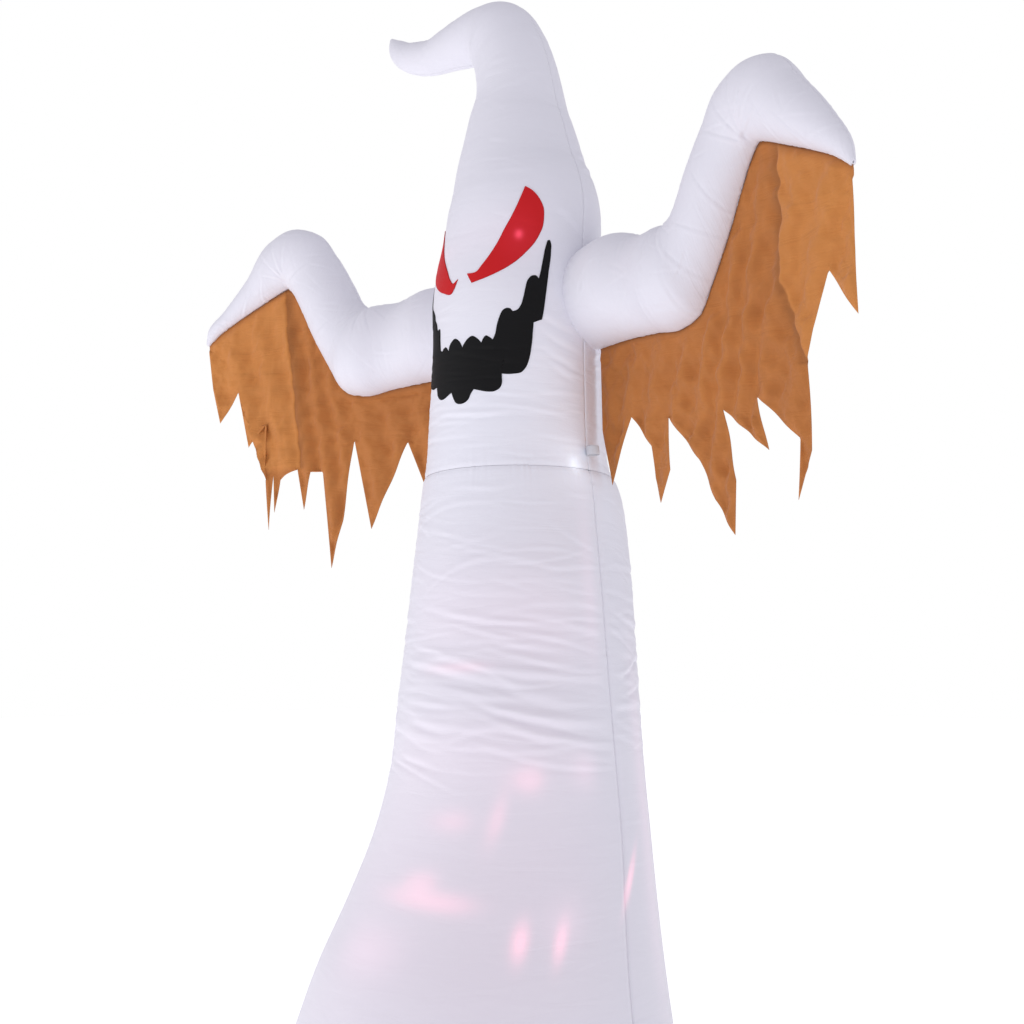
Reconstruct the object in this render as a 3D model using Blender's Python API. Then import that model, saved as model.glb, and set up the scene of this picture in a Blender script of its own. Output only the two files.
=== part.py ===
"""Inflatable yard ghost with a side-bent tip, raised arms, ragged sleeves and a blower.

Metres, +Z up.  The ghost stands on z = 0 and faces -Y, and +X is the ghost's left.
The origin lies on the ground straight under the neck.
"""
import math

import bmesh
import bpy
import numpy as np
from mathutils import Matrix, Vector

for old in list(bpy.data.objects):
    bpy.data.objects.remove(old, do_unlink=True)

HEIGHT = 3.66                # ground to the top of the bent tip
TORSO_RADIUS = 0.264         # half-width of the upper body
CLOTH = 0.003                # wall of every skin panel
CLEAR = 0.0003               # gap between pieces that touch
SEAM_GAP = 0.0008            # gap along the sewn seams
HALF_COLUMNS = 14            # columns of one front or back panel
ARM_COLUMNS = 7              # columns of one arm panel
ARM_SLOPE = 0.30             # forward reach of the arm for each length outwards

PATCH_CLOTH = 0.0012         # eye and mouth cloth
PATCH_LIFT = 0.0010          # eye and mouth cloth above the skin
FACE_TURN = 4.9              # degrees that the face looks to the ghost's left

RAG_CLOTH = 0.0016           # sleeve cloth
RAG_SEAM = 0.0013            # sleeve cloth below the arm's seam
FOLD_DEPTH = 0.008           # half swing of the hanging folds
FOLD_PITCH = 0.105           # fold to fold
FOLD_START = 0.14            # drop over which the folds open

BLOWER_RADIUS = 0.105
BLOWER_HEIGHT = 0.138        # shaft above the ground
BLOWER_INSET = 0.041         # inner face of the blower inside the skirt's back
BLOWER_DEPTH = 0.190
BLOWER_WALL = 0.003
INTAKE_RADIUS = 0.078
GRILLE_WALL = 0.003
GRILLE_SLOT = 0.006
GRILLE_PITCH = 0.0125
OUTLETS = 6
OUTLET_RADIUS = 0.023
OUTLET_RING = 0.067
MOUNT_RADIUS = 0.041         # motor's mounting flange
MOTOR_RADIUS = 0.030
MOTOR_LENGTH = 0.080
SHAFT_RADIUS = 0.003
SHAFT_LENGTH = 0.030
HUB_RADIUS = 0.022
HUB_LENGTH = 0.026
BLADE_RADIUS = 0.094
BLADE_CHORD = 0.040
BLADE_WALL = 0.003
BLADE_PITCH = 35.0           # degrees
BLADES = 7
FOOT_WIDTH = 0.028
FOOT_RISE = 0.085            # foot height beside the drum
FOOT_SPREAD = 0.157          # foot width across the drum
SCREW_RADIUS = 0.0035
SCREW_HEAD = 0.003
SCREW_RING = 0.0905
GLAND_RADIUS = 0.008
GLAND_LENGTH = 0.022
GLAND_BORE = 0.004           # radius of the mains cable's hole
COLLAR_CLOTH = 0.002
COLLAR_INSET = 0.034         # inner end of the collar inside the skirt's back
COLLAR_GAP = 0.004           # collar's outer end to the inner foot
DRAWSTRING_RADIUS = 0.0025
LOCK_RADIUS = 0.009
LOCK_HEIGHT = 0.020
LOCK_WALL = 0.0018
LOCK_FLOOR = 0.0085
PLUNGER_HEIGHT = 0.016
PLUNGER_SEAT = 0.0056        # depth of the plunger in the lock
spring_share = 0.75          # spring's radius as a share of the plunger's
spring_bore_share = 0.6      # spring's bore as a share of its radius

ZIP_LOW = 0.900
ZIP_LENGTH = 0.400
TEETH_WIDTH = 0.005
TEETH_DEPTH = 0.0024
NECK_WIDTH = 0.0016
ZIP_SLIT = 0.006             # slit in the skirt behind the zip
TAPE_WIDTH = 0.015
TAPE_CLOTH = 0.0010
STOP_LENGTH = 0.004
SLIDER_WIDTH = 0.011
SLIDER_LENGTH = 0.014
SLIDER_WALL = 0.0014
EAR_HEIGHT = 0.0050
EAR_WIDTH = 0.0014
PIN_RADIUS = 0.0009
PULL_WIDTH = 0.0062
PULL_LENGTH = 0.030
PULL_WALL = 0.0016

PROJECTOR_RADIUS = 0.062
PROJECTOR_HEIGHT = 0.075
PROJECTOR_WALL = 0.003
PROJECTOR_PLACE = -0.150     # along Y on the floor panel
DOME_RADIUS = 0.056
DOME_WALL = 0.002
DOME_SKIRT = 0.008
PAD_HEIGHT = 0.003
PAD_RADIUS = 0.050
LAMP_TOP = 0.003             # radius of a projector lamp's flat top
PROJECTOR_MOTOR_RADIUS = 0.012
PROJECTOR_MOTOR_HEIGHT = 0.036
BOARD_WALL = 0.002
BOARD_RISE = 0.050
LAMP_RADIUS = 0.006
LAMP_RING = 0.030
BUSH_RADIUS = 0.0055

CORD_RADIUS = 0.0025
CORD_INSET = 0.0165           # light cord's centre inside the skin's outer side
CORD_POINTS = 72
SOCKET_RADIUS = 0.0065
SOCKET_LENGTH = 0.011
BULB_RADIUS = 0.0050
BULB_TOP = 0.0025            # radius of a bulb's flat top
CORD_TAB_WIDTH = 0.012
CORD_TAB_DEPTH = 0.017
PLUG_RADIUS = 0.0065
PLUG_LENGTH = 0.020
JACK_RADIUS = 0.009
JACK_LENGTH = 0.012

STAKE_COLUMN = 4             # skirt column of a stake tab, from the side
STAKE_REACH = 0.105          # stake tab outwards from the hem
STAKE_STRAP = 0.036
STAKE_CLOTH = 0.002
STAKE_EYE = 0.0085           # hole for the stake
LOOP_RADIUS = 0.020
LOOP_CLOTH = 0.002
LOOP_STRAP = 0.025
LOOP_TURN = 90.0             # degrees round from the front
CUT = 0.004                  # overrun of every cutter
DRUM_SIDES = 28              # sides of the blower's round pieces
pole_share = 0.0001          # radius of a turned piece's pole before it is closed
hole_length_share = 0.8      # cord hole as a share of the cord's straight piece
fold_lean_share = 0.25       # sideways lean of the sleeve folds for each length of drop
MERGE = 0.0000001            # cut points nearer than this are one

# rows of the body along its axis: x and height as shares of HEIGHT, then the
# centre's y, half-width, front depth and back depth as shares of TORSO_RADIUS
body_shares = [
    (0, 0, -0.62, 2.02, 2.02, 2.02),
    (0, 0.0108, -0.62, 2.19, 2.19, 2.19),
    (0, 0.0324, -0.61, 2.265, 2.265, 2.25),
    (0, 0.0811, -0.58, 2.19, 2.19, 2.155),
    (0, 0.150, -0.495, 1.974, 1.974, 1.92),
    (0, 0.1946, -0.40, 1.824, 1.824, 1.80),
    (0, 0.2405, -0.232, 1.655, 1.655, 1.632),
    (0, 0.2878, -0.075, 1.506, 1.506, 1.475),
    (0, 0.337, 0, 1.386, 1.386, 1.40),
    (0, 0.387, 0, 1.318, 1.311, 1.40),
    (0, 0.438, 0, 1.255, 1.217, 1.40),
    (0, 0.489, 0, 1.191, 1.139, 1.40),
    (0, 0.527, 0, 1.135, 1.079, 1.36),
    (0, 0.5486, 0, 1.105, 1.049, 1.30),
    (0, 0.562, 0, 1.075, 1.03, 1.20),
    (0, 0.573, 0, 1.03, 1.019, 1.06),
    (0, 0.5946, 0, 1.004, 1.004, 1.004),
    (0, 0.635, 0, 0.989, 0.989, 0.989),
    (0.0006, 0.6757, 0, 0.975, 0.975, 0.975),
    (0.0020, 0.7190, 0, 0.966, 0.966, 0.966),
    (0.0059, 0.7569, 0, 0.900, 0.900, 0.900),
    (0.0085, 0.7891, 0, 0.869, 0.869, 0.869),
    (0.0054, 0.8239, 0, 0.757, 0.757, 0.757),
    (0.0045, 0.8458, 0, 0.680, 0.680, 0.680),
    (0.0035, 0.8673, 0, 0.603, 0.603, 0.603),
    (0.0033, 0.8914, 0, 0.514, 0.514, 0.514),
    (-0.0001, 0.9124, 0, 0.478, 0.478, 0.478),
    (-0.0072, 0.9333, 0, 0.455, 0.455, 0.455),
    (-0.0187, 0.9513, 0, 0.432, 0.432, 0.432),
    (-0.0363, 0.9596, 0, 0.356, 0.356, 0.356),
    (-0.0554, 0.9620, 0, 0.308, 0.308, 0.308),
    (-0.0772, 0.9624, 0, 0.261, 0.261, 0.261),
    (-0.0998, 0.9624, 0, 0.218, 0.218, 0.218),
    (-0.1186, 0.9672, 0, 0.204, 0.204, 0.204),
    (-0.1347, 0.9741, 0, 0.177, 0.177, 0.177),
    (-0.1475, 0.9854, 0, 0.127, 0.127, 0.127),
    (-0.1564, 0.9974, 0, 0.029, 0.029, 0.029),
]
waist_share = 0.5676         # seam between skirt and upper body
loop_share = 0.014           # tether loops above that seam
skirt_row_shares = (0, 0.0108, 0.0324, 0.0811, 0.150, 0.1946, 0.2405, 0.2878, 0.337,
                    0.387, 0.438, 0.489, 0.527, 0.5486, 0.562, waist_share)
shoulder_shares = (0.61, 0.635, 0.6757, 0.719, 0.757, 0.789, 0.81)

# arm: points of the upper and of the lower seam, outwards and up, as shares of
# HEIGHT, then the half-thickness as a share of half the depth
arm_back_share = 0.0405
arm_shares = [
    (0.0200, 0.7530, 0.0200, 0.6690, 0.68),
    (0.0541, 0.7541, 0.0541, 0.6676, 0.88),
    (0.0811, 0.7568, 0.0811, 0.6665, 0.97),
    (0.1054, 0.7568, 0.1081, 0.6659, 0.98),
    (0.1348, 0.7427, 0.1443, 0.6627, 0.82),
    (0.1599, 0.7409, 0.1751, 0.6595, 0.85),
    (0.1693, 0.7400, 0.1927, 0.6654, 0.83),
    (0.1735, 0.7434, 0.2041, 0.6824, 0.82),
    (0.1805, 0.7506, 0.2222, 0.7130, 0.91),
    (0.1908, 0.7705, 0.2357, 0.7405, 0.92),
    (0.2081, 0.7998, 0.2486, 0.7635, 0.81),
    (0.2252, 0.8216, 0.2549, 0.7700, 0.77),
    (0.2471, 0.8301, 0.2575, 0.7696, 0.78),
    (0.2693, 0.8244, 0.2640, 0.7670, 0.78),
    (0.2960, 0.7929, 0.2824, 0.7581, 0.87),
    (0.3212, 0.7627, 0.3080, 0.7450, 0.90),
    (0.3379, 0.7408, 0.3280, 0.7330, 0.93),
    (0.3405, 0.7284, 0.3378, 0.7249, 0.95),
]

# how far each forearm's upper seam is lifted, by its reach, and how far each hand's
# end is moved outwards, as shares of HEIGHT
lift_reach_shares = (0.10, 0.135, 0.16, 0.25, 0.31, 0.34)
arm_lift_shares = {"left": (-0.0055, -0.0010, 0, 0, 0.0100, 0),
                   "right": (-0.0088, -0.0012, 0, -0.0037, -0.0090, 0)}
hand_start_share = 0.25
hand_reach_shares = {"left": -0.004, "right": 0.006}

# ragged lower edges of the sleeves from the body out to the hand, outwards and up
left_rag_shares = [
    (0.0730, 0.6577), (0.0745, 0.6012), (0.0865, 0.5561), (0.0989, 0.5818),
    (0.1116, 0.6053), (0.1351, 0.5793), (0.1381, 0.5548), (0.1456, 0.5353),
    (0.1565, 0.5583), (0.1540, 0.5980), (0.1881, 0.5610), (0.2040, 0.5304),
    (0.2221, 0.5042), (0.2251, 0.5415), (0.2137, 0.5921), (0.2554, 0.5577),
    (0.2462, 0.5958), (0.2840, 0.5610), (0.2808, 0.5213), (0.2940, 0.5515),
    (0.2926, 0.6069), (0.2994, 0.6283), (0.3135, 0.6639), (0.3364, 0.6296),
    (0.3367, 0.6701), (0.3351, 0.7188),
]
right_rag_shares = [
    (0.0730, 0.6577), (0.0870, 0.6215), (0.1084, 0.6145), (0.1130, 0.5712),
    (0.1308, 0.6145), (0.1662, 0.5388), (0.1846, 0.6207), (0.1946, 0.5483),
    (0.2059, 0.5053), (0.2159, 0.5937), (0.2283, 0.5958), (0.2356, 0.5599),
    (0.2432, 0.5977), (0.2608, 0.5918), (0.2662, 0.5588), (0.2689, 0.5945),
    (0.2718, 0.5431), (0.2764, 0.5902), (0.2767, 0.6434), (0.2948, 0.6220),
    (0.3075, 0.6761), (0.3270, 0.6477), (0.3362, 0.6818), (0.3430, 0.7215),
]

# face: degrees from the middle of the face, then height as a share of HEIGHT
eye_shares = {
    "left": [
        (37.2, 0.7895), (43.1, 0.7867), (47.7, 0.7824), (50.9, 0.7768), (51.6, 0.7698),
        (50.7, 0.7606), (47.2, 0.7515), (41.1, 0.7417), (33.6, 0.7318), (23.6, 0.7227),
        (15.3, 0.7178), (5.5, 0.7142), (0.9, 0.7227), (7.9, 0.7234), (11.9, 0.7297),
        (19.2, 0.7445), (25.5, 0.7613), (31.1, 0.7754), (34.5, 0.7838),
    ],
    "right": [
        (-6.0, 0.7192), (-10.6, 0.7163), (-14.0, 0.7199), (-18.9, 0.7276),
        (-24.3, 0.7346), (-30.9, 0.7431), (-38.0, 0.7535), (-44.0, 0.7625),
        (-49.0, 0.7690), (-52.0, 0.7680), (-53.0, 0.7600), (-52.0, 0.7500),
        (-49.5, 0.7400), (-45.5, 0.7310), (-40.0, 0.7235), (-35.0, 0.7190),
        (-30.4, 0.7156), (-20.9, 0.7107), (-11.1, 0.7086),
        (-8.4, 0.7128),
    ],
}
mouth_shares = [
    (0.0, 0.6629), (1.0, 0.6657), (3.4, 0.6692), (7.1, 0.6714), (10.7, 0.6692),
    (14.1, 0.6650), (15.1, 0.6685), (16.8, 0.6706), (19.3, 0.6692), (21.5, 0.6671),
    (22.9, 0.6714), (23.9, 0.6784), (25.4, 0.6847), (27.8, 0.6903), (30.3, 0.6917),
    (32.5, 0.6910), (33.9, 0.6889), (36.8, 0.6903), (38.8, 0.6939), (40.3, 0.7002),
    (41.5, 0.7086), (42.9, 0.7163), (45.4, 0.7206), (48.1, 0.7213), (50.0, 0.7185),
    (51.0, 0.7255), (52.2, 0.7367), (53.7, 0.7473), (54.9, 0.7522), (56.4, 0.7529),
    (57.3, 0.7508), (57.6, 0.7431), (56.4, 0.7262), (54.9, 0.7044), (53.7, 0.6910),
    (52.7, 0.6833), (47.1, 0.6805), (46.9, 0.6756), (46.1, 0.6622), (44.7, 0.6517),
    (42.7, 0.6446), (39.8, 0.6404), (34.4, 0.6390), (29.5, 0.6390), (26.8, 0.6397),
    (27.6, 0.6362), (27.8, 0.6313), (26.4, 0.6278), (23.7, 0.6257), (17.6, 0.6257),
    (13.2, 0.6271), (9.3, 0.6285), (7.6, 0.6257), (5.4, 0.6207), (2.9, 0.6186),
    (0.1, 0.6179), (-2.9, 0.6186), (-5.3, 0.6207), (-7.0, 0.6250), (-8.3, 0.6285),
    (-11.0, 0.6271), (-15.1, 0.6249), (-19.8, 0.6249), (-23.2, 0.6278),
    (-24.9, 0.6362), (-31.0, 0.6355), (-38.5, 0.6385), (-42.6, 0.6446),
    (-44.6, 0.6517), (-46.0, 0.6622), (-46.9, 0.6756), (-47.2, 0.6805),
    (-52.6, 0.6833), (-53.8, 0.6910), (-56.0, 0.7044), (-58.5, 0.7262),
    (-60.5, 0.7431), (-59.7, 0.7520), (-58.3, 0.7520), (-56.5, 0.7380),
    (-53.5, 0.7200), (-48.3, 0.7079), (-42.8, 0.7040), (-36.1, 0.6995),
    (-31.8, 0.6910), (-27.8, 0.6826), (-26.6, 0.6800), (-25.1, 0.6833),
    (-23.3, 0.6730), (-22.2, 0.6650), (-19.5, 0.6636), (-17.8, 0.6660),
    (-16.0, 0.6664), (-14.3, 0.6650), (-12.5, 0.6622), (-10.3, 0.6692),
    (-7.1, 0.6714), (-3.4, 0.6692), (-1.1, 0.6657),
]
PATCH_STEP = 360.0 / (4.0 * HALF_COLUMNS)   # degrees between a patch's columns
patch_row_share = 0.02

# light cord's way: degrees round from the front, height share, depth inside the skin
# as a share of CORD_INSET
cord_shares = [
    (141.4286, 0.072, 2.0), (141.4286, 0.15, 1.1), (141.4286, 0.30, 1.0),
    (141.4286, 0.44, 1.0), (138.0, 0.51, 1.8), (118.0, 0.548, 4.0), (92.0, 0.564, 3.4),
    (78.0, 0.5725, 1.2), (73.0, 0.590, 1.4), (70.0, 0.66, 1.2), (60.0, 0.72, 1.2),
    (42.5, 0.7540, 1.0), (22.0, 0.764, 1.2), (0.0, 0.766, 1.2), (-25.0, 0.757, 1.2),
    (-43.0, 0.7450, 1.0), (-50.5, 0.7405, 1.1),
]
tab_shares = (0.16, 0.30, 0.44)
bulb_shares = (("waist", 78.0, 0.5718), ("left_eye", 41.9, 0.7546),
               ("right_eye", -43.0, 0.7450))


# helpers
def material(name, colour, roughness, metallic=0.0):
    """A Principled material with one colour."""
    made = bpy.data.materials.get(name)
    if made is None:
        made = bpy.data.materials.new(name)
        made.use_nodes = True
        shader = made.node_tree.nodes["Principled BSDF"]
        shader.inputs["Base Color"].default_value = (*colour, 1.0)
        shader.inputs["Roughness"].default_value = roughness
        shader.inputs["Metallic"].default_value = metallic
        made.diffuse_color = (*colour, 1.0)
    return made


WHITE = material("white polyester", (0.80, 0.79, 0.84), 0.55)
RED = material("red polyester", (0.55, 0.01, 0.015), 0.5)
BLACK_CLOTH = material("black polyester", (0.02, 0.02, 0.022), 0.6)
TAN = material("tan sleeve cloth", (0.40, 0.16, 0.05), 0.7)
BLACK_PLASTIC = material("black plastic", (0.02, 0.02, 0.02), 0.45)
GREY_PLASTIC = material("grey plastic", (0.25, 0.25, 0.26), 0.5)
CLEAR_PLASTIC = material("clear lamp plastic", (0.85, 0.80, 0.85), 0.15)
LAMP_BOARD = material("lamp board", (0.75, 0.76, 0.72), 0.4)
METAL = material("nickel metal", (0.62, 0.61, 0.60), 0.3, 1.0)
WEBBING = material("white webbing", (0.72, 0.72, 0.75), 0.8)


def finish(name, made, look, place=(0, 0, 0), turn=None, parent=None, smooth=True):
    """Turn a bmesh into a named object with its material, place and parent."""
    bmesh.ops.recalc_face_normals(made, faces=made.faces)
    mesh = bpy.data.meshes.new(name)
    made.to_mesh(mesh)
    made.free()
    mesh.materials.append(look)
    if smooth:
        mesh.shade_smooth()
        mesh.set_sharp_from_angle(angle=math.radians(35))
    thing = bpy.data.objects.new(name, mesh)
    bpy.context.scene.collection.objects.link(thing)
    thing.location = place
    if turn is not None:
        thing.rotation_euler = turn
    if parent is not None:
        thing.parent = parent
    return thing


def add_cylinder(made, radius, depth, place=(0, 0, 0), turn=None, sides=24, top=None):
    """Add a closed cylinder or cone, centred, along its own Z."""
    matrix = Matrix.Translation(Vector(place))
    if turn is not None:
        matrix = matrix @ turn.to_4x4()
    bmesh.ops.create_cone(made, cap_ends=True, cap_tris=False, segments=sides,
                          radius1=radius, radius2=radius if top is None else top,
                          depth=depth, matrix=matrix)


def add_box(made, size, place=(0, 0, 0), turn=None):
    """Add a closed box of the given size, centred."""
    matrix = Matrix.Translation(Vector(place))
    if turn is not None:
        matrix = matrix @ turn.to_4x4()
    matrix = matrix @ Matrix.Diagonal((*size, 1.0))
    bmesh.ops.create_cube(made, size=1.0, matrix=matrix)


def add_turned(made, profile, sides=24):
    """Turn a closed outline of (radius, height) points round Z."""
    rings = []
    for step in range(sides):
        angle = 2.0 * math.pi * step / sides
        rings.append([made.verts.new((r * math.cos(angle), r * math.sin(angle), z))
                      for r, z in profile])
    count = len(profile)
    for step in range(sides):
        ring, after = rings[step], rings[(step + 1) % sides]
        for k in range(count):
            n = (k + 1) % count
            made.faces.new((ring[k], after[k], after[n], ring[n]))


def cutter(name, made):
    """A hidden object that only cuts others."""
    thing = finish(name, made, GREY_PLASTIC, smooth=False)
    thing.hide_render = True
    thing.display_type = "WIRE"
    return thing


def cut(thing, tool, operation="DIFFERENCE"):
    """Cut a thing with a tool through a Boolean modifier."""
    step = thing.modifiers.new(tool.name, "BOOLEAN")
    step.operation = operation
    step.solver = "EXACT"
    step.object = tool


def shell(name, outer, inner, look):
    """A closed wall between two grids of points."""
    made = bmesh.new()
    rows, columns = outer.shape[:2]
    out = [[made.verts.new(outer[i, j]) for j in range(columns)] for i in range(rows)]
    ins = [[made.verts.new(inner[i, j]) for j in range(columns)] for i in range(rows)]
    for i in range(rows - 1):
        for j in range(columns - 1):
            made.faces.new((out[i][j], out[i][j + 1], out[i + 1][j + 1], out[i + 1][j]))
            made.faces.new((ins[i][j], ins[i + 1][j], ins[i + 1][j + 1], ins[i][j + 1]))
    for i in range(rows - 1):
        made.faces.new((out[i][0], out[i + 1][0], ins[i + 1][0], ins[i][0]))
        made.faces.new((out[i][-1], ins[i][-1], ins[i + 1][-1], out[i + 1][-1]))
    for j in range(columns - 1):
        made.faces.new((out[0][j], ins[0][j], ins[0][j + 1], out[0][j + 1]))
        made.faces.new((out[-1][j], out[-1][j + 1], ins[-1][j + 1], ins[-1][j]))
    return finish(name, made, look)


def loft(name, rings):
    """A closed cutter through whole rings of points."""
    made = bmesh.new()
    rows, columns = rings.shape[:2]
    grid = [[made.verts.new(rings[i, j]) for j in range(columns)] for i in range(rows)]
    for i in range(rows - 1):
        for j in range(columns):
            n = (j + 1) % columns
            made.faces.new((grid[i][j], grid[i][n], grid[i + 1][n], grid[i + 1][j]))
    made.faces.new(grid[0])
    made.faces.new(list(reversed(grid[-1])))
    return cutter(name, made)


def sheet(name, outline, lines_u, lines_v, upper, lower, look):
    """Thicken an outline, cut along lines of its plane, between two placings."""
    flat = bmesh.new()
    flat.faces.new([flat.verts.new((u, v, 0)) for u, v in outline])
    for axis, places in (((1, 0, 0), lines_u), ((0, 1, 0), lines_v)):
        for place in places:
            everything = flat.verts[:] + flat.edges[:] + flat.faces[:]
            bmesh.ops.bisect_plane(flat, geom=everything, dist=MERGE, plane_no=axis,
                                   plane_co=(place * axis[0], place * axis[1], 0))
    bmesh.ops.triangulate(flat, faces=flat.faces[:])
    flat.verts.index_update()
    made = bmesh.new()
    places = [(v.co.x, v.co.y) for v in flat.verts]
    tops = [made.verts.new(upper(u, v)) for u, v in places]
    lows = [made.verts.new(lower(u, v)) for u, v in places]
    for face in flat.faces:
        ring = [v.index for v in face.verts]
        made.faces.new([tops[k] for k in ring])
        made.faces.new([lows[k] for k in reversed(ring)])
    for edge in flat.edges:
        if len(edge.link_faces) == 1:
            a, b = edge.verts[0].index, edge.verts[1].index
            made.faces.new((tops[a], tops[b], lows[b], lows[a]))
    flat.free()
    return finish(name, made, look)


# the body's surface
body_scale = np.array([HEIGHT, HEIGHT] + [TORSO_RADIUS] * 4)
body_rows = np.array(body_shares, float) * body_scale
body_run = np.concatenate([[0.0], np.cumsum(np.hypot(np.diff(body_rows[:, 0]),
                                                     np.diff(body_rows[:, 1])))])
row_steps = np.diff(body_run)
row_slopes = np.diff(body_rows, axis=0) / row_steps[:, None]
body_slopes = np.empty_like(body_rows)
body_slopes[0] = row_slopes[0]
body_slopes[-1] = row_slopes[-1]
body_slopes[1:-1] = ((row_slopes[:-1] * row_steps[1:, None]
                      + row_slopes[1:] * row_steps[:-1, None])
                     / (row_steps[1:] + row_steps[:-1])[:, None])


def body_row(run):
    """Centre, widths and direction of the body's section at a length along its axis."""
    k = min(max(int(np.searchsorted(body_run, run, side="right")) - 1, 0),
            len(body_run) - 2)
    h = row_steps[k]
    s = (run - body_run[k]) / h
    a, b = body_rows[k], body_rows[k + 1]
    m, n = body_slopes[k] * h, body_slopes[k + 1] * h
    value = ((2 * s**3 - 3 * s**2 + 1) * a + (s**3 - 2 * s**2 + s) * m
             + (3 * s**2 - 2 * s**3) * b + (s**3 - s**2) * n)
    slope = ((6 * s**2 - 6 * s) * (a - b) + (3 * s**2 - 4 * s + 1) * m
             + (3 * s**2 - 2 * s) * n)
    along = Vector((slope[0], slope[1])).normalized()
    return value, along


def body_point(run, degrees, inset=0.0):
    """Point of the body's surface, moved inwards; 0 degrees looks along -Y."""
    row, along = body_row(run)
    angle = math.radians(degrees)
    turn = math.cos(angle)
    depth = (row[4] if turn > 0 else row[5]) - inset
    side = (row[3] - inset) * math.sin(angle)
    return Vector((row[0] + side * along.y, row[2] - depth * turn,
                   row[1] - side * along.x))


def body_grid(runs, start, inset, shift):
    """Half a turn of the body's surface over the given lengths along its axis."""
    angles = [start + 180.0 * j / HALF_COLUMNS for j in range(HALF_COLUMNS + 1)]
    return np.array([[body_point(run, angle, inset) + Vector((0, shift, 0))
                      for angle in angles] for run in runs])


# skirt and upper body
skirt_runs = [share * HEIGHT for share in skirt_row_shares]
upper_runs = [waist_share * HEIGHT + SEAM_GAP]
upper_runs += [run for run in body_run if run > upper_runs[0] + CUT]
skin = {}
for part, runs in (("skirt", skirt_runs), ("upper_body", upper_runs)):
    for side, start, shift in (("front", -90.0, -SEAM_GAP), ("back", 90.0, SEAM_GAP)):
        outer = body_grid(runs, start, 0.0, shift / 2)
        inner = body_grid(runs, start, CLOTH, shift / 2)
        name = f"{part}_{side}_panel"
        skin[name] = shell(name, outer, inner, WHITE)

# floor panel: closes the hem, flat on the ground
hem = body_row(0.0)[0]
floor_half = hem[3] - CLOTH - CLEAR
made = bmesh.new()
add_cylinder(made, floor_half, CLOTH, (0, hem[2], CLOTH / 2), sides=2 * HALF_COLUMNS)
floor_panel = finish("floor_panel", made, WHITE, smooth=False)

# arms
arm_rows = {}
for side in ("left", "right"):
    rows = np.array(arm_shares, float)
    rows[:, 1] += np.interp(rows[:, 0], lift_reach_shares, arm_lift_shares[side])
    for edge in (0, 2):
        rows[:, edge] += np.interp(rows[:, edge], (hand_start_share, rows[-1, edge]),
                                   (0, hand_reach_shares[side]))
    arm_rows[side] = rows
arm_normal = Vector((-ARM_SLOPE, -1.0, 0.0)).normalized()


def arm_place(out, up):
    """Point of the left arm's middle plane at a reach and a height."""
    return Vector((out, arm_back_share * HEIGHT - ARM_SLOPE * out, up))


def arm_ring(row, angles, inset, shift):
    """Points round one section of the left arm."""
    upper = arm_place(row[0] * HEIGHT, row[1] * HEIGHT)
    lower = arm_place(row[2] * HEIGHT, row[3] * HEIGHT)
    centre = (upper + lower) / 2
    half = (upper - lower) / 2
    across = half.length * row[4] - inset
    along = half * ((half.length - inset) / half.length)
    return [centre + along * math.cos(math.radians(a))
            + arm_normal * (across * math.sin(math.radians(a)) + shift) for a in angles]


def mirrored(points, sign):
    """The same points on the ghost's left (+1) or right (-1)."""
    moved = np.array(points, float)
    moved[..., 0] *= sign
    return moved


shoulder_runs = [share * HEIGHT for share in shoulder_shares]
full_turn = [360.0 * j / (2 * HALF_COLUMNS) for j in range(2 * HALF_COLUMNS)]
shoulder_cut = loft("shoulder_cut", np.array(
    [[body_point(run, angle, -2 * CLEAR) for angle in full_turn] for run in shoulder_runs]))
passage_turn = [360.0 * j / (2 * ARM_COLUMNS) for j in range(2 * ARM_COLUMNS)]
for side, sign in (("left", 1.0), ("right", -1.0)):
    for face, start, shift in (("front", 0.0, SEAM_GAP), ("back", 180.0, -SEAM_GAP)):
        angles = [start + 180.0 * j / ARM_COLUMNS for j in range(ARM_COLUMNS + 1)]
        outer = [arm_ring(row, angles, 0.0, shift / 2) for row in arm_rows[side]]
        inner = [arm_ring(row, angles, CLOTH, shift / 2) for row in arm_rows[side]]
        name = f"arm_{side}_{face}_panel"
        skin[name] = shell(name, mirrored(outer, sign), mirrored(inner, sign), WHITE)
        cut(skin[name], shoulder_cut)
    rings = [arm_ring(row, passage_turn, 3 * CLOTH, 0.0) for row in arm_rows[side][:4]]
    passage = loft(f"arm_passage_{side}", mirrored(rings, sign))
    cut(skin["upper_body_front_panel"], passage)
    cut(skin["upper_body_back_panel"], passage)

# sleeve rags
def rag_fold(out, up, start, seam_out, seam_up):
    """Sideways swing of the hanging cloth, nothing at the seam and the body."""
    drop = float(np.interp(out, seam_out, seam_up)) - up
    opened = min(max(drop / FOLD_START, 0.0), 1.0)
    clear_body = min(max((out - start) / FOLD_PITCH, 0.0), 1.0)
    wave = math.sin(2 * math.pi * (out + fold_lean_share * drop) / FOLD_PITCH)
    return FOLD_DEPTH * opened * clear_body * wave


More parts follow.
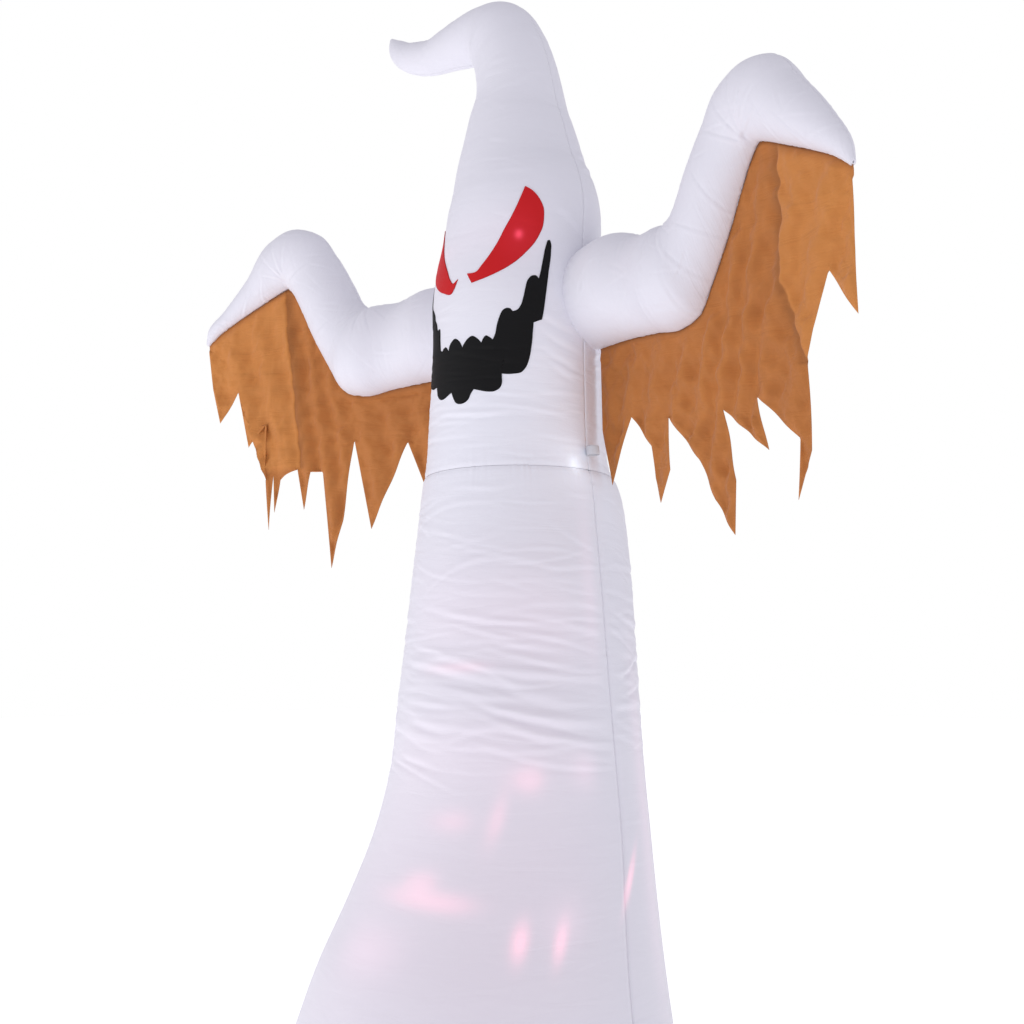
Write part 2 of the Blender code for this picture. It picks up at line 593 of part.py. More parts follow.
def rag(side, shares, sign):
    """Ragged sleeve cloth sewn to the arm's lower seam."""
    seam_out = arm_rows[side][:, 2] * HEIGHT
    seam_up = arm_rows[side][:, 3] * HEIGHT
    lower_edge = [(u * HEIGHT, v * HEIGHT) for u, v in shares]
    start, end = lower_edge[0][0], lower_edge[-1][0]
    seam = [(u + RAG_SEAM, v - RAG_SEAM) for u, v in zip(seam_out, seam_up)
            if start + CUT < u < end - CUT]
    first = (start, float(np.interp(start, seam_out, seam_up)) - RAG_SEAM)
    outline = list(reversed(lower_edge)) + [first] + seam
    step = FOLD_PITCH / 4
    count = int((end - start) / step)
    lines_u = [start + step * (k + 1) for k in range(count)]
    low = min(v for u, v in lower_edge)
    high = max(v for u, v in seam)
    lines_v = [low + (high - low) * k / 9 for k in range(1, 9)]

    def placed(out, up, lift):
        swing = rag_fold(out, up, start, seam_out, seam_up)
        point = arm_place(out, up) + arm_normal * (swing + lift)
        return (point.x * sign, point.y, point.z)

    return sheet(f"sleeve_rag_{side}", outline, lines_u, lines_v,
                 lambda u, v: placed(u, v, RAG_CLOTH / 2),
                 lambda u, v: placed(u, v, -RAG_CLOTH / 2), TAN)


rag("left", left_rag_shares, 1.0)
rag("right", right_rag_shares, -1.0)


# face
def face_patch(name, outline, look):
    """A thin cloth shape that lies on the front of the skin."""
    degrees = [u for u, v in outline]
    heights = [v for u, v in outline]
    first = math.ceil((min(degrees) + 90.0) / PATCH_STEP)
    lines_u = [first * PATCH_STEP - 90.0 + PATCH_STEP * k
               for k in range(int((max(degrees) - min(degrees)) / PATCH_STEP) + 1)]
    step = patch_row_share * HEIGHT
    lines_v = [min(heights) + step * k for k in range(1, 1 + int(
        (max(heights) - min(heights)) / step))]
    shift = Vector((0, -SEAM_GAP / 2, 0))
    return sheet(name, outline, lines_u, lines_v,
                 lambda u, v: body_point(v, u, -PATCH_LIFT - PATCH_CLOTH) + shift,
                 lambda u, v: body_point(v, u, -PATCH_LIFT) + shift, look)


for side in ("left", "right"):
    face_patch(f"eye_{side}", [(FACE_TURN + u, v * HEIGHT) for u, v in eye_shares[side]],
               RED)
face_patch("mouth", [(FACE_TURN + u, v * HEIGHT) for u, v in mouth_shares], BLACK_CLOTH)

# blower
ALONG_Y = Matrix.Rotation(math.radians(-90), 3, "X")
shaft = Vector((0, 0, BLOWER_HEIGHT))
skirt_back = body_row(BLOWER_HEIGHT)[0]
skirt_back_y = skirt_back[2] + skirt_back[5]
blower_back = skirt_back_y - BLOWER_INSET
collar_back = skirt_back_y - COLLAR_INSET
outer_end = blower_back + BLOWER_DEPTH
split = blower_back + BLOWER_DEPTH / 2
collar_end = split - FOOT_WIDTH / 2 - COLLAR_GAP
collar_length = collar_end - collar_back
turn_y = (math.radians(-90), 0, 0)
inner_radius = BLOWER_RADIUS - BLOWER_WALL

made = bmesh.new()
add_turned(made, [(pole_share * BLOWER_RADIUS, 0), (BLOWER_RADIUS, 0),
                  (BLOWER_RADIUS, split - blower_back - CLEAR / 2),
                  (inner_radius, split - blower_back - CLEAR / 2),
                  (inner_radius, BLOWER_WALL), (pole_share * BLOWER_RADIUS,
                                                BLOWER_WALL)], sides=DRUM_SIDES)
bmesh.ops.remove_doubles(made, verts=made.verts, dist=10 * pole_share * BLOWER_RADIUS)
back_shell = finish("blower_outlet_housing", made, BLACK_PLASTIC,
                    (0, blower_back, BLOWER_HEIGHT), turn_y)
made = bmesh.new()
for k in range(OUTLETS):
    angle = 2 * math.pi * (k + 0.5) / OUTLETS
    add_cylinder(made, OUTLET_RADIUS, BLOWER_WALL + 2 * CUT,
                 (OUTLET_RING * math.cos(angle), blower_back + BLOWER_WALL / 2,
                  BLOWER_HEIGHT + OUTLET_RING * math.sin(angle)), ALONG_Y, sides=12)
cut(back_shell, cutter("outlet_cut", made))

made = bmesh.new()
add_turned(made, [(INTAKE_RADIUS, outer_end - BLOWER_WALL), (INTAKE_RADIUS, outer_end),
                  (BLOWER_RADIUS, outer_end), (BLOWER_RADIUS, split + CLEAR / 2),
                  (inner_radius, split + CLEAR / 2),
                  (inner_radius, outer_end - BLOWER_WALL)], sides=DRUM_SIDES)
intake = finish("blower_intake_housing", made, BLACK_PLASTIC, (0, 0, BLOWER_HEIGHT), turn_y)

# grille: a slotted plate in the intake
made = bmesh.new()
add_cylinder(made, INTAKE_RADIUS - CLEAR, GRILLE_WALL,
             (0, outer_end - GRILLE_WALL / 2, BLOWER_HEIGHT), ALONG_Y, sides=DRUM_SIDES)
grille = finish("blower_grille", made, BLACK_PLASTIC)
made = bmesh.new()
slot_count = int((INTAKE_RADIUS - GRILLE_PITCH) / GRILLE_PITCH)
for k in range(-slot_count, slot_count + 1):
    rise = k * GRILLE_PITCH
    reach = math.sqrt((INTAKE_RADIUS - GRILLE_SLOT) ** 2 - rise * rise)
    add_box(made, (2 * reach, GRILLE_WALL + 2 * CUT, GRILLE_SLOT),
            (0, outer_end - GRILLE_WALL / 2, BLOWER_HEIGHT + rise))
cut(grille, cutter("grille_cut", made))

# motor: seated on the outlet housing's back wall, shaft towards the intake
made = bmesh.new()
mount_place = blower_back + BLOWER_WALL + CLEAR
add_cylinder(made, MOUNT_RADIUS, BLOWER_WALL,
             (0, mount_place + BLOWER_WALL / 2, BLOWER_HEIGHT), ALONG_Y)
motor = finish("blower_motor", made, GREY_PLASTIC)
made = bmesh.new()
motor_end = mount_place + MOTOR_LENGTH
add_cylinder(made, MOTOR_RADIUS, MOTOR_LENGTH - BLOWER_WALL / 2,
             (0, (mount_place + BLOWER_WALL / 2 + motor_end) / 2, BLOWER_HEIGHT), ALONG_Y)
motor_can = cutter("motor_can", made)
made = bmesh.new()
add_cylinder(made, SHAFT_RADIUS, SHAFT_LENGTH + CUT,
             (0, motor_end + (SHAFT_LENGTH - CUT) / 2, BLOWER_HEIGHT), ALONG_Y, sides=12)
motor_shaft = cutter("motor_shaft", made)
cut(motor, motor_can, "UNION")
cut(motor, motor_shaft, "UNION")

# impeller: hub with twisted blades, turning on the shaft
impeller_place = motor_end + 3 * CLEAR + HUB_LENGTH / 2
made = bmesh.new()
add_cylinder(made, HUB_RADIUS, HUB_LENGTH, sides=28)
impeller = finish("blower_impeller", made, BLACK_PLASTIC,
                  (0, impeller_place, BLOWER_HEIGHT), turn_y)
made = bmesh.new()
for k in range(BLADES):
    spin = Matrix.Rotation(2 * math.pi * k / BLADES, 3, "Z")
    pitch = Matrix.Rotation(math.radians(BLADE_PITCH), 3, "X")
    reach = BLADE_RADIUS - HUB_RADIUS + CUT
    centre = spin @ Vector((BLADE_RADIUS - reach / 2, 0, 0))
    add_box(made, (reach, BLADE_CHORD, BLADE_WALL), centre, spin @ pitch)
blades = cutter("blades", made)
blades.parent = impeller
cut(impeller, blades, "UNION")
made = bmesh.new()
add_cylinder(made, SHAFT_RADIUS + CLEAR, HUB_LENGTH + 2 * CUT, sides=12)
hub_bore = cutter("hub_bore", made)
hub_bore.parent = impeller
cut(impeller, hub_bore)

# feet: two saddles under the drum, behind the collar
foot_places = (("inner", split), ("outer", outer_end - FOOT_WIDTH / 2))
for side, foot_y in foot_places:
    made = bmesh.new()
    add_box(made, (FOOT_SPREAD, FOOT_WIDTH, FOOT_RISE))
    foot = finish(f"blower_foot_{side}", made, BLACK_PLASTIC,
                  (0, foot_y, FOOT_RISE / 2), smooth=False)
    made = bmesh.new()
    add_cylinder(made, BLOWER_RADIUS + CLEAR, FOOT_WIDTH + 2 * CUT,
                 (0, foot_y, BLOWER_HEIGHT), ALONG_Y, sides=DRUM_SIDES)
    cut(foot, cutter(f"foot_cut_{side}", made))

# screws: heads on the intake face
for k in range(4):
    angle = math.radians(45.0 + 90.0 * k)
    made = bmesh.new()
    add_cylinder(made, SCREW_RADIUS, SCREW_HEAD, sides=12)
    finish(f"blower_screw_{k + 1}", made, METAL,
           (SCREW_RING * math.cos(angle), outer_end + CLEAR + SCREW_HEAD / 2,
            BLOWER_HEIGHT + SCREW_RING * math.sin(angle)), turn_y)

# mains gland on the drum's lower right, light jack on the outlet face
made = bmesh.new()
gland_turn = Matrix.Rotation(math.radians(90), 3, "Y")
gland_y = outer_end - GLAND_RADIUS - BLOWER_WALL
add_cylinder(made, GLAND_RADIUS, GLAND_LENGTH,
             (BLOWER_RADIUS + CLEAR + GLAND_LENGTH / 2, gland_y, BLOWER_HEIGHT),
             gland_turn, sides=16)
gland = finish("mains_cable_gland", made, BLACK_PLASTIC)
made = bmesh.new()
add_cylinder(made, GLAND_BORE, 2 * GLAND_LENGTH,
             (BLOWER_RADIUS + CLEAR + GLAND_LENGTH / 2, gland_y, BLOWER_HEIGHT),
             gland_turn, sides=12)
gland_bore = cutter("gland_bore", made)
cut(gland, gland_bore)
cut(intake, gland_bore)

# collar: cloth tube from the skirt round the drum, with its drawstring and lock
collar_inner = BLOWER_RADIUS + CLEAR
collar_outer = collar_inner + COLLAR_CLOTH
made = bmesh.new()
add_turned(made, [(collar_inner, 0), (collar_outer, 0), (collar_outer, collar_length),
                  (collar_inner, collar_length)], sides=DRUM_SIDES)
collar = finish("blower_collar", made, WHITE, (0, collar_back, BLOWER_HEIGHT), turn_y)
made = bmesh.new()
add_cylinder(made, collar_outer + CLEAR, BLOWER_DEPTH + BLOWER_INSET,
             (0, outer_end - (BLOWER_DEPTH + BLOWER_INSET) / 2, BLOWER_HEIGHT), ALONG_Y,
             sides=DRUM_SIDES)
cut(skin["skirt_back_panel"], cutter("collar_hole", made))

string_y = collar_back + collar_length - 3 * DRAWSTRING_RADIUS
string_ring = collar_outer / math.cos(math.pi / DRUM_SIDES) + CLEAR + DRAWSTRING_RADIUS
made = bmesh.new()
add_turned(made, [(string_ring + DRAWSTRING_RADIUS * math.cos(math.pi * k / 3),
                   DRAWSTRING_RADIUS * math.sin(math.pi * k / 3)) for k in range(6)],
           sides=2 * DRUM_SIDES)
finish("collar_drawstring", made, WHITE, (0, string_y, BLOWER_HEIGHT), turn_y)

lock_low = BLOWER_HEIGHT + string_ring - DRAWSTRING_RADIUS - CLEAR - LOCK_WALL
made = bmesh.new()
add_turned(made, [(pole_share * LOCK_RADIUS, 0), (LOCK_RADIUS, 0), (LOCK_RADIUS, LOCK_HEIGHT),
                  (LOCK_RADIUS - LOCK_WALL, LOCK_HEIGHT),
                  (LOCK_RADIUS - LOCK_WALL, LOCK_FLOOR),
                  (pole_share * LOCK_RADIUS, LOCK_FLOOR)], sides=20)
bmesh.ops.remove_doubles(made, verts=made.verts, dist=10 * pole_share * LOCK_RADIUS)
lock = finish("cord_lock_body", made, BLACK_PLASTIC, (0, string_y, lock_low))
made = bmesh.new()
add_turned(made, [(string_ring + (DRAWSTRING_RADIUS + CLEAR) * math.cos(math.pi * k / 3),
                   (DRAWSTRING_RADIUS + CLEAR) * math.sin(math.pi * k / 3))
                  for k in range(6)], sides=2 * DRUM_SIDES)
string_cut = cutter("string_cut", made)
string_cut.location = (0, string_y, BLOWER_HEIGHT)
string_cut.rotation_euler = turn_y
cut(lock, string_cut)
made = bmesh.new()
add_cylinder(made, LOCK_RADIUS + CLEAR, LOCK_HEIGHT, (0, string_y, lock_low), sides=20)
cut(collar, cutter("lock_notch", made))

plunger_radius = LOCK_RADIUS - LOCK_WALL - CLEAR
spring_height = LOCK_HEIGHT - LOCK_FLOOR - 2 * CLEAR - PLUNGER_SEAT
made = bmesh.new()
spring_outer = plunger_radius * spring_share
spring_inner = spring_outer * spring_bore_share
add_turned(made, [(spring_inner, 0), (spring_outer, 0), (spring_outer, spring_height),
                  (spring_inner, spring_height)], sides=16)
finish("cord_lock_spring", made, METAL, (0, string_y, lock_low + LOCK_FLOOR + CLEAR))
plunger_low = lock_low + LOCK_FLOOR + 2 * CLEAR + spring_height
made = bmesh.new()
add_cylinder(made, plunger_radius, PLUNGER_HEIGHT, (0, 0, PLUNGER_HEIGHT / 2), sides=20)
finish("cord_lock_plunger", made, GREY_PLASTIC, (0, string_y, plunger_low))

# deflation zip
zip_row = body_row(ZIP_LOW + ZIP_LENGTH / 2)[0]
zip_face = zip_row[2] + zip_row[5] + SEAM_GAP / 2
zip_mid = ZIP_LOW + ZIP_LENGTH / 2
tape_top = zip_face + CLEAR + TAPE_CLOTH
neck_depth = SLIDER_WALL + 2 * CLEAR
teeth_y = tape_top + CLEAR + neck_depth + TEETH_DEPTH / 2
made = bmesh.new()
add_box(made, (TEETH_WIDTH, TEETH_DEPTH, ZIP_LENGTH), (0, teeth_y, zip_mid))
teeth = finish("zip_teeth", made, GREY_PLASTIC, smooth=False)
made = bmesh.new()
add_box(made, (NECK_WIDTH, neck_depth + TEETH_DEPTH / 2, ZIP_LENGTH),
        (0, teeth_y - TEETH_DEPTH / 4 - neck_depth / 2, zip_mid))
cut(teeth, cutter("zip_neck", made), "UNION")
made = bmesh.new()
add_box(made, (ZIP_SLIT, 2 * CLOTH + 2 * CUT, ZIP_LENGTH - 2 * STOP_LENGTH),
        (0, zip_face, zip_mid))
cut(skin["skirt_back_panel"], cutter("zip_slit", made))
for side, sign in (("left", 1.0), ("right", -1.0)):
    made = bmesh.new()
    add_box(made, (TAPE_WIDTH, TAPE_CLOTH, ZIP_LENGTH))
    finish(f"zip_tape_{side}", made, WEBBING,
           (sign * (CLEAR + TAPE_WIDTH / 2),
            zip_face + CLEAR + TAPE_CLOTH / 2, zip_mid), smooth=False)
made = bmesh.new()
for rise in (ZIP_LOW - STOP_LENGTH / 2 + CLEAR,
             ZIP_LOW + ZIP_LENGTH + STOP_LENGTH / 2 - CLEAR):
    add_box(made, (TEETH_WIDTH + 2 * SLIDER_WALL, TEETH_DEPTH, STOP_LENGTH),
            (0, teeth_y, rise))
cut(teeth, cutter("zip_stops", made), "UNION")

slider_z = ZIP_LOW + ZIP_LENGTH - SLIDER_LENGTH / 2 - CLEAR
made = bmesh.new()
slider_depth = TEETH_DEPTH + 2 * CLEAR + 2 * SLIDER_WALL
add_box(made, (SLIDER_WIDTH, slider_depth, SLIDER_LENGTH))
slider = finish("zip_slider", made, METAL, (0, teeth_y, slider_z), smooth=False)
made = bmesh.new()
add_box(made, (TEETH_WIDTH + 2 * CLEAR, TEETH_DEPTH + 2 * CLEAR, SLIDER_LENGTH + 2 * CUT))
slider_cut = cutter("slider_cut", made)
slider_cut.parent = slider
cut(slider, slider_cut)
made = bmesh.new()
add_box(made, (NECK_WIDTH + 2 * CLEAR, slider_depth, SLIDER_LENGTH + 2 * CUT),
        (0, -slider_depth / 2, 0))
slider_slot = cutter("slider_slot", made)
slider_slot.parent = slider
cut(slider, slider_slot)
made = bmesh.new()
ear_y = slider_depth / 2 + EAR_HEIGHT / 2 - SLIDER_WALL / 4
for sign in (-1.0, 1.0):
    add_box(made, (EAR_WIDTH, EAR_HEIGHT, 3 * EAR_WIDTH),
            (sign * (PULL_WIDTH / 2 + CLEAR + EAR_WIDTH / 2), ear_y, 0))
ears = cutter("slider_ears", made)
ears.parent = slider
cut(slider, ears, "UNION")
made = bmesh.new()
pin_y = slider_depth / 2 + EAR_HEIGHT - 2 * PIN_RADIUS
add_cylinder(made, PIN_RADIUS, PULL_WIDTH + EAR_WIDTH + 2 * CLEAR, (0, pin_y, 0),
             gland_turn, sides=10)
pin = cutter("slider_pin", made)
pin.parent = slider
cut(slider, pin, "UNION")
made = bmesh.new()
add_box(made, (PULL_WIDTH, PULL_WALL, PULL_LENGTH), (0, 0, -PULL_LENGTH / 2))
pull = finish("zip_pull", made, METAL, (0, pin_y, 0), parent=slider, smooth=False)
made = bmesh.new()
add_cylinder(made, PIN_RADIUS + CLEAR + PULL_WALL / 2, PULL_WIDTH, (0, 0, 0), gland_turn,
             sides=16)
barrel = cutter("pull_barrel", made)
barrel.parent = pull
cut(pull, barrel, "UNION")
made = bmesh.new()
add_cylinder(made, PIN_RADIUS + CLEAR, PULL_WIDTH + 2 * CUT, (0, 0, 0), gland_turn,
             sides=16)
pull_bore = cutter("pull_bore", made)
pull_bore.parent = pull
cut(pull, pull_bore)

# light projector
made = bmesh.new()
add_cylinder(made, PAD_RADIUS, PAD_HEIGHT,
             (0, PROJECTOR_PLACE, CLOTH + CLEAR + PAD_HEIGHT / 2))
finish("projector_pad", made, BLACK_CLOTH)
base_z = CLOTH + 2 * CLEAR + PAD_HEIGHT
made = bmesh.new()
add_turned(made, [(pole_share * PROJECTOR_RADIUS, 0), (PROJECTOR_RADIUS, 0),
                  (PROJECTOR_RADIUS, PROJECTOR_HEIGHT),
                  (PROJECTOR_RADIUS - PROJECTOR_WALL, PROJECTOR_HEIGHT),
                  (PROJECTOR_RADIUS - PROJECTOR_WALL, PROJECTOR_WALL),
                  (pole_share * PROJECTOR_RADIUS, PROJECTOR_WALL)], sides=28)
bmesh.ops.remove_doubles(made, verts=made.verts, dist=10 * pole_share * PROJECTOR_RADIUS)
finish("projector_housing", made, BLACK_PLASTIC, (0, PROJECTOR_PLACE, base_z))

# motor on the floor of the housing, its shaft through the lamp board to the dome
motor_low = base_z + PROJECTOR_WALL + CLEAR
made = bmesh.new()
add_cylinder(made, PROJECTOR_MOTOR_RADIUS, PROJECTOR_MOTOR_HEIGHT,
             (0, 0, PROJECTOR_MOTOR_HEIGHT / 2), sides=20)
turner = finish("projector_motor", made, GREY_PLASTIC, (0, PROJECTOR_PLACE, motor_low))
made = bmesh.new()
dome_low = base_z + PROJECTOR_HEIGHT - DOME_SKIRT
dome_top = dome_low + DOME_SKIRT + DOME_RADIUS
shaft_top = dome_top - DOME_WALL - motor_low - BUSH_RADIUS
add_cylinder(made, SHAFT_RADIUS, shaft_top - PROJECTOR_MOTOR_HEIGHT / 2,
             (0, 0, (shaft_top + PROJECTOR_MOTOR_HEIGHT / 2) / 2), sides=12)
turner_shaft = cutter("projector_shaft", made)
turner_shaft.parent = turner
cut(turner, turner_shaft, "UNION")

board_z = base_z + BOARD_RISE
made = bmesh.new()
add_turned(made, [(SHAFT_RADIUS + 3 * CLEAR, 0),
                  (PROJECTOR_RADIUS - PROJECTOR_WALL - CLEAR, 0),
                  (PROJECTOR_RADIUS - PROJECTOR_WALL - CLEAR, BOARD_WALL),
                  (SHAFT_RADIUS + 3 * CLEAR, BOARD_WALL)], sides=28)
board = finish("projector_lamp_board", made, LAMP_BOARD, (0, PROJECTOR_PLACE, board_z))
made = bmesh.new()
for k in range(3):
    angle = 2 * math.pi * k / 3 - math.pi / 2
    add_cylinder(made, LAMP_RADIUS, LAMP_RADIUS + BOARD_WALL,
                 (LAMP_RING * math.cos(angle), LAMP_RING * math.sin(angle),
                  BOARD_WALL / 2 + (LAMP_RADIUS + BOARD_WALL) / 2), sides=12,
                 top=LAMP_TOP)
lamps = cutter("projector_lamps", made)
lamps.parent = board
cut(board, lamps, "UNION")

# dome: half globe with a bush on the shaft's end, running in the housing's mouth
made = bmesh.new()
steps = 5
profile = [(DOME_RADIUS, 0)]
for k in range(steps):
    angle = math.radians(90.0 * k / steps)
    profile.append((DOME_RADIUS * math.cos(angle),
                    DOME_SKIRT + DOME_RADIUS * math.sin(angle)))
profile.append((pole_share * DOME_RADIUS, DOME_SKIRT + DOME_RADIUS))
inner_dome = DOME_RADIUS - DOME_WALL
profile.append((pole_share * DOME_RADIUS, DOME_SKIRT + inner_dome))
for k in reversed(range(steps)):
    angle = math.radians(90.0 * k / steps)
    profile.append((inner_dome * math.cos(angle),
                    DOME_SKIRT + inner_dome * math.sin(angle)))
profile.append((inner_dome, 0))
add_turned(made, profile, sides=20)
bmesh.ops.remove_doubles(made, verts=made.verts, dist=10 * pole_share * DOME_RADIUS)
dome = finish("projector_dome", made, CLEAR_PLASTIC, (0, PROJECTOR_PLACE, dome_low))
made = bmesh.new()
bush_length = 2 * BUSH_RADIUS
bush_top = DOME_SKIRT + inner_dome + DOME_WALL / 2
add_cylinder(made, BUSH_RADIUS, bush_length, (0, 0, bush_top - bush_length / 2), sides=16)
bush = cutter("dome_bush", made)
bush.parent = dome
cut(dome, bush, "UNION")
made = bmesh.new()
bore_top = shaft_top + motor_low - dome_low + CLEAR
add_cylinder(made, SHAFT_RADIUS + CLEAR, bore_top, (0, 0, bore_top / 2), sides=12)
bush_bore = cutter("bush_bore", made)
bush_bore.parent = dome
cut(dome, bush_bore)

# light cord and bulbs
jack_y = blower_back - CLEAR
made = bmesh.new()
add_cylinder(made, JACK_RADIUS, JACK_LENGTH, (0, jack_y - JACK_LENGTH / 2, BLOWER_HEIGHT),
             ALONG_Y, sides=16)
finish("light_jack", made, BLACK_PLASTIC)
made = bmesh.new()
plug_y = jack_y - JACK_LENGTH - CLEAR
add_cylinder(made, PLUG_RADIUS, PLUG_LENGTH, (0, plug_y - PLUG_LENGTH / 2, BLOWER_HEIGHT),
             ALONG_Y, sides=16)
finish("light_plug", made, BLACK_PLASTIC)

plug_end = Vector((0, plug_y - PLUG_LENGTH - CLEAR, BLOWER_HEIGHT))
way = [plug_end, plug_end - Vector((0, PLUG_LENGTH, 0)),
       plug_end + Vector((2 * PLUG_LENGTH, -2 * PLUG_LENGTH, 2 * PLUG_LENGTH))]
way += [body_point(share * HEIGHT, degrees, depth * CORD_INSET)
        for degrees, share, depth in cord_shares]


def smooth_way(points, count):
    """Evenly spaced points on a smooth curve through the given ones."""
    chords = [(b - a).length ** 0.5 for a, b in zip(points[:-1], points[1:])]
    knots = np.concatenate([[0.0], np.cumsum(chords)])
    dense = []
    for k in range(len(points) - 1):
        before = points[k - 1] if k else points[0] * 2 - points[1]
        after = points[k + 2] if k + 2 < len(points) else points[-1] * 2 - points[-2]
        a, b = points[k], points[k + 1]
        t0 = knots[k] - (chords[k - 1] if k else chords[0])
        t3 = knots[k + 1] + (chords[k + 1] if k + 1 < len(chords) else chords[-1])
        t1, t2 = knots[k], knots[k + 1]
        for j in range(24):
            t = t1 + (t2 - t1) * j / 24
            a1 = before * ((t1 - t) / (t1 - t0)) + a * ((t - t0) / (t1 - t0))
            a2 = a * ((t2 - t) / (t2 - t1)) + b * ((t - t1) / (t2 - t1))
            a3 = b * ((t3 - t) / (t3 - t2)) + after * ((t - t2) / (t3 - t2))
            b1 = a1 * ((t2 - t) / (t2 - t0)) + a2 * ((t - t0) / (t2 - t0))
            b2 = a2 * ((t3 - t) / (t3 - t1)) + a3 * ((t - t1) / (t3 - t1))
            dense.append(b1 * ((t2 - t) / (t2 - t1)) + b2 * ((t - t1) / (t2 - t1)))
    dense.append(points[-1])
    line = np.array(dense)
    run = np.concatenate([[0.0], np.cumsum(np.linalg.norm(np.diff(line, axis=0), axis=1))])
    even = np.linspace(0.0, run[-1], count)
    return np.stack([np.interp(even, run, line[:, k]) for k in range(3)], axis=1)


def tube(name, points, radius, look):
    """A round cord along points, as a curve with filled caps."""
    curve = bpy.data.curves.new(name, "CURVE")
    curve.dimensions = "3D"
    curve.bevel_depth = radius
    curve.bevel_resolution = 2
    curve.use_fill_caps = True
    spline = curve.splines.new("POLY")
    spline.points.add(len(points) - 1)
    for place, point in zip(spline.points, points):
        place.co = (*point, 1.0)
    curve.materials.append(look)
    thing = bpy.data.objects.new(name, curve)
    bpy.context.scene.collection.objects.link(thing)
    return thing


cord_line = np.concatenate([[plug_end], smooth_way(way[1:], CORD_POINTS)])
tube("light_cord", cord_line, CORD_RADIUS, WEBBING)


def cord_hole(name, run, degrees):
    """The cord's straight piece nearest to a place: its middle and a cutter along it."""
    here = np.array(body_point(run, degrees))
    middles = (cord_line[1:] + cord_line[:-1]) / 2
    k = int(np.argmin(np.linalg.norm(middles - here, axis=1)))
    along = Vector(cord_line[k + 1] - cord_line[k])
    made = bmesh.new()
    bore = (CORD_RADIUS + CLEAR) / math.cos(math.pi / 12)
    add_cylinder(made, bore, along.length * hole_length_share, middles[k],
                 along.to_track_quat("Z", "Y").to_matrix(), sides=12)
    return Vector(middles[k]), cutter(name, made)


def skin_frame(run, degrees):
    """Outward, sideways and upward directions of the skin at a place."""
    here = body_point(run, degrees)
    aside = (body_point(run, degrees + 1.0) - body_point(run, degrees - 1.0)).normalized()
    upward = (body_point(run + CUT, degrees) - body_point(run - CUT, degrees)).normalized()
    outward = aside.cross(upward).normalized()
    return here, outward, aside, upward


def column_frame(run, degrees, runs):
    """The same on the straight edge between two rows of a skin panel's column."""
    k = max(i for i, row in enumerate(runs[:-1]) if row <= run)
    low, high = body_point(runs[k], degrees), body_point(runs[k + 1], degrees)
    here = low.lerp(high, (run - runs[k]) / (runs[k + 1] - runs[k]))
    aside = (body_point(run, degrees + 1.0) - body_point(run, degrees - 1.0)).normalized()
    upward = (high - low).normalized()
    outward = aside.cross(upward).normalized()
    return here, outward, aside, upward


# cord tabs: cloth blocks sewn inside the back panel, with the cord through them
tab_front = CLOTH + CORD_TAB_WIDTH * math.pi / HALF_COLUMNS / 4 + 2 * CLEAR
for k, share in enumerate(tab_shares):
    middle, hole = cord_hole(f"tab_hole_{k + 1}", share * HEIGHT, cord_shares[0][0])
    here, outward, aside, upward = column_frame(middle.z, cord_shares[0][0], skirt_runs)
    turn = Matrix((aside, outward, upward)).transposed()
    centre = here - outward * (tab_front + CORD_TAB_DEPTH / 2) + Vector((0, SEAM_GAP / 2, 0))
    made = bmesh.new()
    add_box(made, (CORD_TAB_WIDTH, CORD_TAB_DEPTH, CORD_TAB_WIDTH), centre, turn)
    cut(finish(f"cord_tab_{k + 1}", made, WEBBING, smooth=False), hole)

# sockets and bulbs: one behind each eye and one at the waist
for name, degrees, share in bulb_shares:
    here, outward, aside, upward = skin_frame(share * HEIGHT, degrees)
    near, hole = cord_hole(f"socket_hole_{name}", share * HEIGHT, degrees)
    facing = outward.to_track_quat("Z", "Y").to_euler()
    made = bmesh.new()
    add_cylinder(made, SOCKET_RADIUS, SOCKET_LENGTH, sides=16)
    socket = finish(f"lamp_socket_{name}", made, BLACK_PLASTIC, near, facing)
    cut(socket, hole)
    made = bmesh.new()
    add_cylinder(made, BULB_RADIUS, BULB_RADIUS, sides=12, top=BULB_TOP)
    lift = SOCKET_LENGTH / 2 + CLEAR + BULB_RADIUS / 2
    finish(f"lamp_bulb_{name}", made, CLEAR_PLASTIC, near + outward * lift, facing)

# stake tabs and loops
hem_radius = hem[3]
flare = body_row(STAKE_CLOTH)[0][3] - hem_radius
tab_turn = math.pi / HALF_COLUMNS * STAKE_COLUMN
tab_turns = (tab_turn, math.pi - tab_turn, math.pi + tab_turn, -tab_turn)
for k, angle in enumerate(tab_turns):
    out = Vector((math.cos(angle), math.sin(angle), 0))
    start = hem_radius + flare + SEAM_GAP / 2 + CLEAR
    place = out * (start + STAKE_REACH / 2) + Vector((0, hem[2], STAKE_CLOTH / 2))
    made = bmesh.new()
    add_box(made, (STAKE_REACH, STAKE_STRAP, STAKE_CLOTH))
    tab = finish(f"stake_tab_{k + 1}", made, WEBBING, place, (0, 0, angle), smooth=False)
    made = bmesh.new()
    add_cylinder(made, STAKE_EYE, STAKE_CLOTH + 2 * CUT, ((STAKE_REACH - STAKE_STRAP) / 2, 0, 0),
                 sides=16)
    eye = cutter(f"stake_eye_{k + 1}", made)
    eye.parent = tab
    cut(tab, eye)

